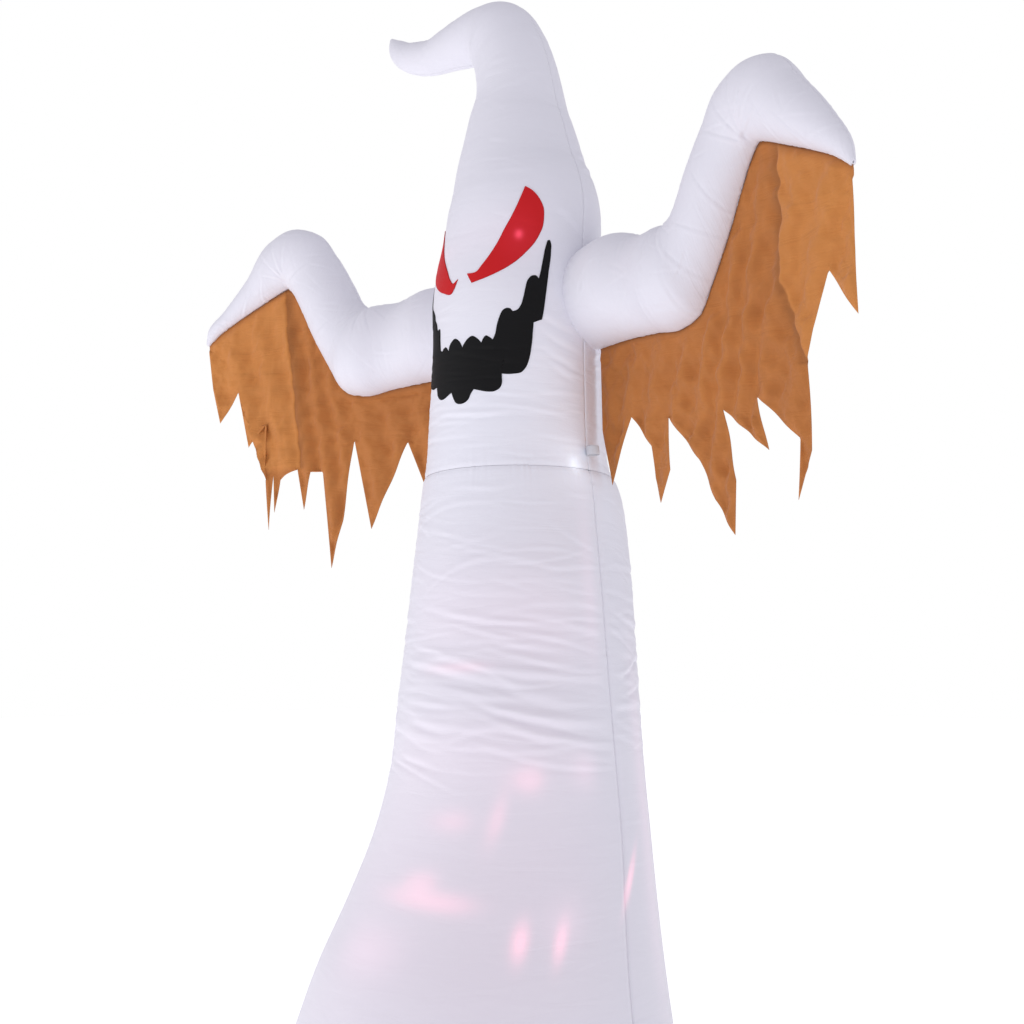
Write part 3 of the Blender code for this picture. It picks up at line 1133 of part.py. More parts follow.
# tether loops: webbing rings sewn into the side seams above the waist
for side, sign in (("left", 1.0), ("right", -1.0)):
    run = (waist_share + loop_share) * HEIGHT
    here, outward, aside, upward = column_frame(run, sign * LOOP_TURN, upper_runs)
    turn = Matrix((outward, upward.cross(outward), upward)).transposed().to_euler()
    made = bmesh.new()
    add_cylinder(made, LOOP_RADIUS, LOOP_STRAP, sides=20)
    loop = finish(f"tether_loop_{side}", made, WEBBING,
                  here + outward * (LOOP_RADIUS + CLEAR), turn)
    made = bmesh.new()
    add_cylinder(made, LOOP_RADIUS - LOOP_CLOTH, LOOP_STRAP + 2 * CUT, sides=20)
    hollow = cutter(f"loop_cut_{side}", made)
    hollow.parent = loop
    cut(loop, hollow)
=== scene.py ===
import math
import bpy
import numpy as np
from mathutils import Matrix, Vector


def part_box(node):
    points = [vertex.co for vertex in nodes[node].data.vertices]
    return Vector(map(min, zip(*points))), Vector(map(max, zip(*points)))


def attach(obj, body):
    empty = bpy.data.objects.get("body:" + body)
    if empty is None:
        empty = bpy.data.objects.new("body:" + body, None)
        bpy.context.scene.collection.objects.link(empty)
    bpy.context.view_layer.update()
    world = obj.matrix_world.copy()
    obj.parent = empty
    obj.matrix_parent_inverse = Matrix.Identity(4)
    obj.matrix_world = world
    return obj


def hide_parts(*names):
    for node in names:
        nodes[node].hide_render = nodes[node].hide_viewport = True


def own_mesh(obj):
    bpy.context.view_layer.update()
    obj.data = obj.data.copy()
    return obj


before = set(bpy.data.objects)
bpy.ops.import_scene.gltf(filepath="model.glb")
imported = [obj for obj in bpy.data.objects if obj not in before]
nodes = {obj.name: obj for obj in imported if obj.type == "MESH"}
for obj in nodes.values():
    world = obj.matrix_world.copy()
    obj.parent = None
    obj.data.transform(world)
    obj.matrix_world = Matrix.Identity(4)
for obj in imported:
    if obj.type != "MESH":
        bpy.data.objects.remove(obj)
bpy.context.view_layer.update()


# The viewing place: a standing person's eye, 3.8 m from the ghost and 42 degrees round to
# its left, looking slightly up.  White sky all round, one broad soft light from the
# ghost's front right, and a plain pale floor.
EYE_HEIGHT = 1.503
EYE_DISTANCE = 3.827
EYE_ASIDE = -0.0148
EYE_ROUND = math.radians(42.1)
EYE_UP = math.radians(7.1)


def placed(name, data):
    """An object in the scene that holds the data."""
    made = bpy.data.objects.new(name, data)
    bpy.context.scene.collection.objects.link(made)
    return made


def new_look(name):
    """A new material, with one function that fills its shader and one that adds a node.

    Both take a value or another node's output for each socket; the second one also takes
    the node's own settings and returns the output that is asked for.
    """
    made = bpy.data.materials.new(name)
    made.use_nodes = True
    tree = made.node_tree

    def fill(sockets, node=tree.nodes["Principled BSDF"]):
        for socket, value in sockets.items():
            if isinstance(value, bpy.types.NodeSocket):
                tree.links.new(value, node.inputs[socket])
            else:
                node.inputs[socket].default_value = value

    def add(kind, sockets, gives=0, **settings):
        node = tree.nodes.new("ShaderNode" + kind)
        for setting, value in settings.items():
            setattr(node, setting, value)
        fill(sockets, node)
        return node.outputs[gives]

    return made, fill, add


aside = Vector((math.cos(EYE_ROUND), math.sin(EYE_ROUND), 0))
back = Vector((math.sin(EYE_ROUND), -math.cos(EYE_ROUND), 0))
gaze = Vector((-math.sin(EYE_ROUND) * math.cos(EYE_UP),
               math.cos(EYE_ROUND) * math.cos(EYE_UP), math.sin(EYE_UP)))
eye = bpy.data.cameras.new("eye")
eye.sensor_width = 36.0
eye.lens = 45.70
eye_holder = placed("eye", eye)
eye_holder.location = back * EYE_DISTANCE + aside * EYE_ASIDE + Vector((0, 0, EYE_HEIGHT))
eye_holder.rotation_mode = "QUATERNION"
eye_holder.rotation_quaternion = gaze.to_track_quat("-Z", "Y")
bpy.context.scene.camera = eye_holder

sky = bpy.data.worlds.new("white sky")
bpy.context.scene.world = sky
sky.use_nodes = True
sky_nodes = sky.node_tree.nodes
sky_light = sky_nodes["Background"]
sky_light.inputs["Color"].default_value = (0.94, 0.93, 1.0, 1)
sky_light.inputs["Strength"].default_value = 0.645
sky_seen = sky_nodes.new("ShaderNodeBackground")
sky_seen.inputs["Color"].default_value = (1, 1, 1, 1)
sky_seen.inputs["Strength"].default_value = 1.0
sky_path = sky_nodes.new("ShaderNodeLightPath")
sky_mix = sky_nodes.new("ShaderNodeMixShader")
sky.node_tree.links.new(sky_path.outputs["Is Camera Ray"], sky_mix.inputs[0])
sky.node_tree.links.new(sky_light.outputs[0], sky_mix.inputs[1])
sky.node_tree.links.new(sky_seen.outputs[0], sky_mix.inputs[2])
sky.node_tree.links.new(sky_mix.outputs[0], sky_nodes["World Output"].inputs["Surface"])
bpy.context.scene.view_settings.view_transform = "Standard"
bpy.context.scene.view_settings.look = "None"


def soft_light(name, place, aim, size, power, colour):
    """A square soft light at a place, turned towards another."""
    lamp = bpy.data.lights.new(name, "AREA")
    lamp.shape = "SQUARE"
    lamp.size = size
    lamp.energy = power
    lamp.color = colour
    held = placed(name, lamp)
    held.visible_camera = False
    held.location = place
    held.rotation_euler = (Vector(aim) - Vector(place)).to_track_quat("-Z", "Y").to_euler()


soft_light("broad light", (-4.6, -5.6, 4.4), (0, 0, 2.0), 3.6, 38, (1.0, 0.985, 0.96))
soft_light("high light", (2.2, -1.5, 6.5), (0, 0, 2.4), 3.0, 6, (0.95, 0.96, 1.0))
soft_light("low light", (-2.6, -2.5, 0.9), (-0.2, -0.2, 0.9), 2.0, 15, (1.0, 0.98, 0.98))

floor_mesh = bpy.data.meshes.new("pale_floor")
floor_mesh.from_pydata([(-40, -40, -0.001), (40, -40, -0.001), (40, 40, -0.001),
                        (-40, 40, -0.001)], [], [(0, 1, 2, 3)])
pale_floor = placed("pale_floor", floor_mesh)
floor_finish, floor_look, _ = new_look("pale floor")
floor_look({"Base Color": (0.93, 0.93, 0.94, 1), "Roughness": 0.9,
            "Emission Color": (1, 1, 1, 1), "Emission Strength": 0.56})
floor_mesh.materials.append(floor_finish)


# Skirt: two panels of thin white polyester, cut from flat cloth and sewn together down
# both sides, held out by the blower's air.  Faint level creases lie across its middle,
# where the air pressure and the hanging weight pull the cloth two ways.
HEIGHT = 3.66
TORSO = 0.264
SEAM_GAP = 0.0008
SKIRT_ROUND = 0.355


def lengths(points, axis=0):
    """Length run along a line or one direction of a grid, from its first place."""
    step = np.linalg.norm(np.diff(points, axis=axis), axis=-1)
    zero = np.zeros_like(np.take(step, [0], axis=axis))
    return np.concatenate([zero, np.cumsum(step, axis=axis)], axis=axis)


body_shares = np.array([
    (0, 0, -0.62, 2.02, 2.02, 2.02),
    (0, 0.0108, -0.62, 2.19, 2.19, 2.19),
    (0, 0.0324, -0.61, 2.265, 2.265, 2.25),
    (0, 0.0811, -0.58, 2.19, 2.19, 2.155),
    (0, 0.150, -0.495, 1.974, 1.974, 1.92),
    (0, 0.1946, -0.40, 1.824, 1.824, 1.80),
    (0, 0.2405, -0.232, 1.655, 1.655, 1.632),
    (0, 0.2878, -0.075, 1.506, 1.506, 1.475),
    (0, 0.337, 0, 1.386, 1.386, 1.40),
    (0, 0.387, 0, 1.318, 1.311, 1.40),
    (0, 0.438, 0, 1.255, 1.217, 1.40),
    (0, 0.489, 0, 1.191, 1.139, 1.40),
    (0, 0.527, 0, 1.135, 1.079, 1.36),
    (0, 0.5486, 0, 1.105, 1.049, 1.30),
    (0, 0.562, 0, 1.075, 1.03, 1.20),
    (0, 0.573, 0, 1.03, 1.019, 1.06),
    (0, 0.5946, 0, 1.004, 1.004, 1.004),
    (0, 0.635, 0, 0.989, 0.989, 0.989),
    (0.0006, 0.6757, 0, 0.975, 0.975, 0.975),
    (0.0020, 0.7190, 0, 0.966, 0.966, 0.966),
    (0.0059, 0.7569, 0, 0.900, 0.900, 0.900),
    (0.0085, 0.7891, 0, 0.869, 0.869, 0.869),
    (0.0054, 0.8239, 0, 0.757, 0.757, 0.757),
    (0.0045, 0.8458, 0, 0.680, 0.680, 0.680),
    (0.0035, 0.8673, 0, 0.603, 0.603, 0.603),
    (0.0033, 0.8914, 0, 0.514, 0.514, 0.514),
    (-0.0001, 0.9124, 0, 0.478, 0.478, 0.478),
    (-0.0072, 0.9333, 0, 0.455, 0.455, 0.455),
    (-0.0187, 0.9513, 0, 0.432, 0.432, 0.432),
    (-0.0363, 0.9596, 0, 0.356, 0.356, 0.356),
    (-0.0554, 0.9620, 0, 0.308, 0.308, 0.308),
    (-0.0772, 0.9624, 0, 0.261, 0.261, 0.261),
    (-0.0998, 0.9624, 0, 0.218, 0.218, 0.218),
    (-0.1186, 0.9672, 0, 0.204, 0.204, 0.204),
    (-0.1347, 0.9741, 0, 0.177, 0.177, 0.177),
    (-0.1475, 0.9854, 0, 0.127, 0.127, 0.127),
    (-0.1564, 0.9974, 0, 0.029, 0.029, 0.029),
])
body_rows = body_shares * np.array([HEIGHT, HEIGHT] + [TORSO] * 4)
body_run = lengths(body_rows[:, :2])
WAIST = 0.5676 * HEIGHT


def through_rows(rows, runs, run):
    """Cubic between two rows, with each row's slope from its two neighbours.

    Returns the row's values and their slope at each run.
    """
    run = np.clip(np.asarray(run, float), runs[0], runs[-1])
    steps = np.diff(runs)
    chords = np.diff(rows, axis=0) / steps[:, None]
    slopes = np.empty_like(rows)
    slopes[0], slopes[-1] = chords[0], chords[-1]
    slopes[1:-1] = (chords[:-1] * steps[1:, None] + chords[1:] * steps[:-1, None]) / (
        steps[1:] + steps[:-1])[:, None]
    k = np.clip(np.searchsorted(runs, run, side="right") - 1, 0, len(runs) - 2)
    h = steps[k][..., None]
    s = (run - runs[k])[..., None] / h
    a, b, m, n = rows[k], rows[k + 1], slopes[k] * h, slopes[k + 1] * h
    value = ((2 * s**3 - 3 * s**2 + 1) * a + (s**3 - 2 * s**2 + s) * m
             + (3 * s**2 - 2 * s**3) * b + (s**3 - s**2) * n)
    slope = ((6 * s**2 - 6 * s) * (a - b) + (3 * s**2 - 4 * s + 1) * m
             + (3 * s**2 - 2 * s) * n) / h
    return value, slope


def body_surface(run, degrees, lift=0.0):
    """Point of the inflated body at a length along its axis and an angle from the front.

    Section centre, plus half-width times sine across, plus depth times cosine to the
    front; the section stands square to the axis.
    """
    run, degrees = np.broadcast_arrays(run, degrees)
    row, slope = through_rows(body_rows, body_run, run)
    length = np.hypot(slope[..., 0], slope[..., 1])
    along_x, along_z = slope[..., 0] / length, slope[..., 1] / length
    turn = np.cos(np.radians(degrees))
    depth = np.where(turn > 0, row[..., 4], row[..., 5]) + lift
    side = (row[..., 3] + lift) * np.sin(np.radians(degrees))
    return np.stack([row[..., 0] + side * along_z, row[..., 2] - depth * turn,
                     row[..., 1] - side * along_x], -1)


def outward(points):
    """Unit normals of a grid of points, from the differences along rows and columns."""
    n = np.cross(np.gradient(points, axis=1), np.gradient(points, axis=0))
    return n / np.maximum(np.linalg.norm(n, axis=-1, keepdims=True), 1e-12)


def cloth_area(points):
    """Area of a grid: half the cross product of each cell's diagonals."""
    a = points[1:, 1:] - points[:-1, :-1]
    b = points[1:, :-1] - points[:-1, 1:]
    return float(np.linalg.norm(np.cross(a, b), axis=-1).sum() / 2)


def cloth_map(mesh, spots):
    """Keep the cloth's own two lengths at each corner of the mesh as its UV map."""
    mesh.uv_layers.new(name="cloth").data.foreach_set("uv", spots.astype(np.float32).ravel())


def point_colour(mesh, title, values):
    """Keep a colour for each point of the mesh."""
    colour = np.ones((len(mesh.vertices), 4), np.float32)
    colour[:, :3] = values
    mesh.attributes.new(title, "FLOAT_COLOR", "POINT").data.foreach_set(
        "color", colour.ravel())


def grid_mesh(name, points, look, flat, glow, painted_shading=1.0, flip=False):
    """A mesh of quads between the neighbours of a grid of points.

    flat is the cloth's own two lengths in metres, glow is the lamp light that comes
    through it, painted in as emission, and the shading factor after it multiplies its
    colour with painted light and shade.
    """
    rows, columns = points.shape[:2]
    k = np.arange(rows * columns).reshape(rows, columns)
    ring = [k[:-1, :-1], k[:-1, 1:], k[1:, 1:], k[1:, :-1]]
    faces = np.stack([r.ravel() for r in (ring[::-1] if flip else ring)], 1)
    mesh = bpy.data.meshes.new(name)
    mesh.from_pydata(points.reshape(-1, 3).tolist(), [], faces.tolist())
    cloth_map(mesh, flat.reshape(-1, 2)[faces.ravel()])
    for title, values in (("painted_shading", painted_shading), ("glow", glow)):
        point_colour(mesh, title, np.broadcast_to(values, points.shape).reshape(-1, 3))
    mesh.shade_smooth()
    mesh.materials.append(look)
    return placed(name, mesh)


def seam_allowance(points, flat, glow, inwards, shift):
    """The grid with one more column at each side: the cloth's cut edge, turned in behind
    the seam by a finger's width and laid against the other panel's.
    """
    edges = []
    for k in (0, -1):
        edge = points[:, [k]] - 0.006 * inwards[:, [k]] - np.array(shift)
        edges.append((edge, flat[:, [k]], glow[:, [k]]))
    return [np.concatenate([a, b, c], 1) for a, b, c in
            zip(edges[0], (points, flat, glow), edges[1])]


def crease(u, v, start, end, width, depth, bow=0.0):
    """One tension crease in the cloth: a narrow valley with a softer ridge beside it.

    Along the line from start to end it fades at both ends; across the line it is a bell
    curve of the given width, less a wider bell curve beside it.
    """
    centre = (np.array(start, float) + np.array(end, float)) / 2
    line = np.array(end, float) - np.array(start, float)
    half = np.hypot(*line) / 2
    line = line / (2 * half)
    p = ((u - centre[0]) * line[0] + (v - centre[1]) * line[1]) / half
    q = (v - centre[1]) * line[0] - (u - centre[0]) * line[1] - bow * half * (p**2 - 0.5)
    fade = np.exp(-np.clip(np.abs(p), 0, 3)**3)
    return depth * fade * (0.8 * np.exp(-((q - 1.5 * width) / (1.4 * width))**2)
                           - np.exp(-(q / width)**2))


def wrinkles(u, v, count, seed, u_span, v_span, reach, slant, width, depth):
    """Sum of many small creases with places, lengths and slants from a seeded draw."""
    draw = np.random.RandomState(seed)
    total = np.zeros(np.broadcast(u, v).shape)
    for _ in range(count):
        place = np.array([draw.uniform(*u_span), draw.uniform(*v_span)])
        angle = draw.normal(slant[0], slant[1])
        half = draw.uniform(*reach) * np.array([math.cos(angle), math.sin(angle)]) / 2
        size = draw.uniform(0.4, 1.0)
        total += crease(u, v, place - half, place + half, draw.uniform(*width),
                        depth * size, draw.uniform(-0.12, 0.12))
    return total


def seam_puckers(along, across, pitch, reach, depth, seed):
    """Ripples that a sewn seam draws into the cloth, dying away from the seam.

    Three sines of unlike pitch along the seam, times an exponential of the distance.
    """
    draw = np.random.RandomState(seed)
    ripple = sum(np.sin(2 * math.pi * along / (pitch * share) + draw.uniform(0, 6.28))
                 for share in (1.0, 1.37, 2.3))
    drawn = 0.55 + 0.45 * np.sin(2 * math.pi * along / (11 * pitch) + draw.uniform(0, 6.28))
    return depth * drawn * ripple / 3 * np.exp(-np.abs(across) / reach)


def polyester(name, colour, shade, roughness, sheen, glows=True, crumple=1.0, gloss=0.35):
    """Thin woven polyester: a plain weave of fine threads over a faint level crumple.

    Two wave textures at right angles give the threads, a stretched noise the crumple,
    and a broad noise the slight difference in colour; the painted shading that multiplies
    the colour and the painted glow of lamp light through the cloth come from the piece's
    own attributes.
    """
    made, shader, add = new_look(name)
    place = add("UVMap", {}, uv_map="cloth")
    threads = {k: add("TexWave", {"Scale": 420.0, "Distortion": 0.6, "Detail": 1.0,
                                  "Vector": place}, "Fac", wave_type="BANDS",
                      bands_direction=direction) for k, direction in enumerate("XY")}
    weave = add("Math", threads, operation="ADD")
    stretch = add("Mapping", {"Scale": (5.0, 26.0, 1.0), "Vector": place})
    level = add("TexNoise", {"Scale": 1.0, "Detail": 5.0, "Roughness": 0.55,
                             "Distortion": 0.8, "Vector": stretch}, "Fac")
    soft_bump = add("Bump", {"Strength": 0.35 * crumple, "Distance": 0.006,
                             "Height": level})
    thread_bump = add("Bump", {"Strength": 0.12, "Distance": 0.0003, "Height": weave,
                               "Normal": soft_bump})
    broad = add("TexNoise", {"Scale": 2.2, "Detail": 3.0, "Vector": place}, "Fac")
    dye = add("Mix", {"A": (*colour, 1), "B": (*shade, 1), "Factor": broad}, "Result",
              data_type="RGBA")
    # painted light and shade: the colour is multiplied by a colour attribute kept on each piece
    painted_shading = add("Attribute", {}, "Color", attribute_name="painted_shading")
    colour_with_painted_shade = add("Mix", {"Factor": 1.0, "A": dye, "B": painted_shading}, "Result", data_type="RGBA",
               blend_type="MULTIPLY")
    shader({"Base Color": colour_with_painted_shade, "Normal": thread_bump, "Roughness": roughness,
            "Sheen Weight": sheen, "Sheen Roughness": 0.4, "Specular IOR Level": gloss})
    # painted light: the glow attribute shines as emission
    if glows:
        shader({"Emission Color": add("Attribute", {}, "Color", attribute_name="glow"),
                "Emission Strength": 1.0})
    return made


white_cloth = polyester("white polyester", (0.800, 0.790, 0.850), (0.765, 0.755, 0.830),
                        0.55, 0.15)

# painted light: glow painted into the cloth for the lamps' and the projector's light
# coming through it, and broad faint spots of painted light that brighten the cloth; place
# along the axis, degrees from the front, half height, half width, slant, colour and
# strength of each spot
PINK = np.array([1.0, 0.22, 0.34])
ROSE = np.array([1.0, 0.45, 0.60])
BLUE_WHITE = np.array([0.75, 0.88, 1.0])
light_spots = [
    (1.228, 47, 0.035, 0.030, 0.0, PINK, 0.20), (0.927, 18, 0.026, 0.055, -0.5, PINK, 0.24),
    (0.842, 49, 0.042, 0.016, 0.0, PINK, 0.42), (0.837, 62.5, 0.045, 0.015, 0.1, PINK, 0.36),
    (0.962, 93, 0.060, 0.015, 0.5, PINK, 0.42), (1.128, 35, 0.060, 0.014, 0.1, PINK, 0.16),
    (0.967, 9.5, 0.028, 0.020, 0.0, PINK, 0.20), (1.120, 17, 0.030, 0.025, 0.0, PINK, 0.12),
    (1.249, 71.5, 0.050, 0.040, 0.0, ROSE, 0.10), (0.877, 64, 0.060, 0.050, 0.0, ROSE, 0.08),
    (0.80, -4, 0.060, 0.045, 0.0, ROSE, 0.10), (1.52, 15, 0.016, 0.040, 0.4, PINK, 0.12),
    (1.30, 38, 0.12, 0.18, 0.0, ROSE, 0.060), (1.05, 36, 0.26, 0.34, 0.0, ROSE, 0.060),
    (1.68, 36, 0.18, 0.18, 0.0, ROSE, 0.050), (1.60, 60, 0.14, 0.14, 0.0, ROSE, 0.045),
    (1.75, 80, 0.22, 0.03, 0.0, ROSE, 0.060), (0.72, 40, 0.26, 0.45, 0.0, ROSE, 0.050),
    (1.30, 112, 0.30, 0.05, 0.0, ROSE, 0.055), (0.95, 112, 0.35, 0.06, 0.0, ROSE, 0.060),
    (0.90, -60, 0.05, 0.03, 0.3, PINK, 0.25), (1.05, -100, 0.05, 0.02, 0.2, PINK, 0.25),
    (0.85, 150, 0.05, 0.02, 0.0, PINK, 0.25), (1.15, 200, 0.04, 0.03, 0.2, PINK, 0.20),
    (2.088, 78, 0.022, 0.020, 0.0, BLUE_WHITE, 0.30),
    (2.088, 78, 0.075, 0.070, 0.0, BLUE_WHITE, 0.16),
    (2.10, 70, 0.20, 0.20, 0.0, BLUE_WHITE, 0.045), (2.36, 66, 0.20, 0.14, 0.0, BLUE_WHITE, 0.10),
    (2.7608, 39.7, 0.012, 0.012, 0.0, ROSE, 0.55), (2.76, 39.7, 0.07, 0.06, 0.0, ROSE, 0.06),
    (2.712, -45.0, 0.026, 0.030, 0.0, PINK, 0.55), (2.72, -45.0, 0.08, 0.06, 0.0, ROSE, 0.06),
]


def lamp_glow(run, degrees, radius, colour=1.0):
    """Painted light through the cloth: one bell curve for each spot, slanted and stretched."""
    total = np.zeros((*np.broadcast(run, degrees).shape, 3))
    for place, turn, tall, wide, slant, painted_light_tone, power in light_spots:
        rise = run - place
        across = np.radians((degrees - turn + 180) % 360 - 180) * radius - slant * rise
        total += power * np.exp(-(rise / tall)**2 - (across / wide)**2)[..., None] * painted_light_tone
    return total * colour


def body_panel(name, low, high, start, shift, relief, rows, columns):
    """Half a turn of the body between two places on its axis, with its own creases.

    The smooth inflated surface is moved along its normal by the relief, which is worked
    out from the cloth's own two lengths.
    """
    run = np.linspace(low, high, rows)[:, None]
    turn = np.linspace(start, start + 180.0, columns)[None, :]
    smooth = body_surface(run, turn)
    round_it = lengths(smooth, 1)
    across = round_it - round_it[:, [columns // 2]]
    radius = np.linalg.norm(smooth - smooth.mean(axis=1, keepdims=True), axis=-1)
    height = run + 0 * turn
    points = smooth + outward(smooth) * relief(height, turn + 0 * run)[..., None]
    points[..., 1] += shift
    points, flat, glow = seam_allowance(points, np.stack([across, height], -1), lamp_glow(
        run, turn, radius), outward(smooth), (0, 0.9 * shift, 0))
    made = grid_mesh(f"{name}_cloth", points, white_cloth, flat, glow)
    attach(made, "ghost")
    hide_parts(f"{name}_panel")
    tall = float(lengths(smooth)[-1].max())


# the chief creases across the middle of the skirt: start and end, each by degrees from
# the front and height, then width, depth and bow
skirt_creases = [
    (-14, 1.677, 66, 1.611, 0.009, 0.0022, 0.05), (-6, 1.541, 80, 1.472, 0.012, 0.0045, 0.08),
    (0, 1.500, 48, 1.461, 0.016, 0.0060, 0.06), (-28, 1.531, 14, 1.495, 0.010, 0.0030, 0.0),
    (27, 1.585, 58, 1.557, 0.009, 0.0032, 0.05), (34, 1.461, 61, 1.425, 0.012, 0.0040, 0.06),
    (39, 1.436, 66, 1.400, 0.011, 0.0040, 0.05), (28, 1.400, 74, 1.353, 0.011, 0.0040, 0.06),
    (40, 1.379, 76, 1.345, 0.010, 0.0032, 0.05), (-14, 1.371, 9, 1.343, 0.012, 0.0035, 0.05),
    (12, 1.330, 50, 1.338, 0.011, 0.0032, -0.25), (-24, 1.420, 9, 1.408, 0.010, 0.0028, 0.0),
    (-7, 1.766, 56, 1.806, 0.008, 0.0020, -0.2), (-24, 1.325, 2, 1.312, 0.010, 0.0025, 0.0),
    (-18, 1.268, 2, 1.253, 0.010, 0.0022, 0.0), (20, 1.300, 66, 1.292, 0.009, 0.0018, 0.1),
    (100, 1.490, 122, 1.545, 0.008, 0.0040, 0.0), (103, 1.440, 124, 1.466, 0.008, 0.0036, 0.0),
    (10, 1.620, 52, 1.590, 0.007, 0.0016, 0.1), (45, 1.530, 82, 1.500, 0.008, 0.0028, 0.1),
    (30, 1.550, 70, 1.515, 0.008, 0.0026, 0.1), (50, 1.375, 80, 1.330, 0.008, 0.0022, 0.1),
]


def seam_distance(height, degrees):
    """Length round the body from a place to the nearer side seam."""
    radius = np.interp(height, body_run, body_rows[:, 3])
    return np.abs(np.radians(np.mod(degrees, 180) - 90)) * radius


def chief_creases(creases, height, degrees, radius):
    """Length round the body, and the sum of the listed creases there."""
    round_it = np.radians(degrees) * radius
    total = np.zeros_like(height)
    for a, low, b, high, width, depth, bow in creases:
        total += crease(round_it, height, (math.radians(a) * radius, low),
                        (math.radians(b) * radius, high), width, depth, bow)
    return round_it, total


def skirt_relief(height, degrees):
    """Height of the skirt cloth above its smooth form: creases and drawn seams."""
    behind = degrees.mean() > 90
    span = (0.56, 1.67) if behind else (-0.56, 0.56)
    round_it, total = chief_creases(skirt_creases, height, degrees, SKIRT_ROUND)
    total += wrinkles(round_it, height, 130, 6 if behind else 5, span, (1.22, 2.02),
                      (0.10, 0.42), (-0.09, 0.12), (0.004, 0.009), 0.0013)
    total += wrinkles(round_it, height, 46, 16 if behind else 15, span, (1.24, 1.66),
                      (0.10, 0.36), (-0.12, 0.12), (0.006, 0.012), 0.0024)
    to_seam = seam_distance(height, degrees)
    total *= 1 - np.exp(-(to_seam / 0.022)**2)
    total *= 1 - np.exp(-((WAIST - height) / 0.016)**2)
    upper = np.clip((height - 0.9) / 0.6, 0.25, 1)
    total += upper * seam_puckers(height, to_seam, 0.021, 0.018, 0.0016, 3)
    total += seam_puckers(round_it, WAIST - height, 0.017, 0.030, 0.0022, 4)
    total -= 0.0035 * np.exp(-(to_seam / 0.006)**2)
    total -= 0.0030 * np.exp(-((WAIST - height) / 0.007)**2)
    by_zip = np.exp(-(np.radians(degrees - 180) * 0.36 / 0.022)**4) * np.exp(
        -((height - 1.10) / 0.225)**8)
    return total * np.clip((height - 0.02) / 0.1, 0, 1) * (1 - by_zip) - 0.0004 * by_zip


for face, start, shift in (("front", -90, -SEAM_GAP / 2), ("back", 90, SEAM_GAP / 2)):
    body_panel(f"skirt_{face}", 0.0, WAIST, start, shift, skirt_relief, 420, 200)


# Upper body: two more panels from the waist seam up over the head to the blunt, upturned
# tip, of the same cloth and sewn the same way.  The cloth is smoothest on the head.
upper_creases = [
    (58, 2.500, 82, 2.470, 0.009, 0.0030, 0.1), (60, 2.455, 84, 2.415, 0.009, 0.0030, 0.1),
    (58, 2.410, 84, 2.360, 0.010, 0.0028, 0.1), (62, 2.370, 84, 2.320, 0.010, 0.0020, 0.1),
    (20, 2.280, 70, 2.270, 0.007, 0.0012, 0.1), (-10, 2.230, 40, 2.222, 0.007, 0.0012, 0.1),
    (66, 2.840, 86, 2.800, 0.010, 0.0020, 0.0), (-82, 2.470, -60, 2.500, 0.009, 0.0028, 0.1),
    (-84, 2.410, -60, 2.455, 0.009, 0.0028, 0.1), (-84, 2.350, -60, 2.400, 0.010, 0.0024, 0.0),
    (96, 3.000, 118, 3.035, 0.009, 0.0034, 0.0), (98, 2.950, 122, 2.975, 0.009, 0.0034, 0.0),
    (98, 2.470, 124, 2.510, 0.009, 0.0028, 0.0), (97, 2.400, 124, 2.450, 0.009, 0.0028, 0.0),
]


def upper_relief(height, degrees):
    """Height of the upper body's cloth above its smooth form."""
    behind = degrees.mean() > 90
    span = (0.41, 1.24) if behind else (-0.41, 0.41)
    round_it, total = chief_creases(upper_creases, height, degrees, TORSO)
    total += wrinkles(round_it, height, 90, 26 if behind else 25, span, (WAIST, 2.42),
                      (0.08, 0.34), (-0.03, 0.08), (0.004, 0.008), 0.0011)
    total += wrinkles(round_it, height, 60, 36 if behind else 35, span, (2.5, 4.0),
                      (0.06, 0.22), (-0.05, 0.2), (0.005, 0.010), 0.0009)
    to_seam = seam_distance(height, degrees)
    total *= 1 - np.exp(-(to_seam / 0.018)**2)
    total *= 1 - np.exp(-((height - WAIST) / 0.016)**2)
    total += seam_puckers(height, to_seam, 0.019, 0.020, 0.0012, 13)
    total += seam_puckers(round_it * SKIRT_ROUND / TORSO, height - WAIST, 0.017, 0.030,
                          0.0022, 4)
    total -= 0.0012 * np.exp(-(to_seam / 0.005)**2)
    total -= 0.0030 * np.exp(-((height - WAIST) / 0.007)**2)
    total -= 0.019 * np.exp(-((height - 2.425) / 0.11)**2 - ((degrees + 54) / 15)**2)
    return total * np.clip((body_run[-1] - height) / 0.12, 0, 1)


for face, start, shift in (("front", -90, -SEAM_GAP / 2), ("back", 90, SEAM_GAP / 2)):
    body_panel(f"upper_body_{face}", WAIST + SEAM_GAP, body_run[-1], start, shift,
               upper_relief, 420, 150)


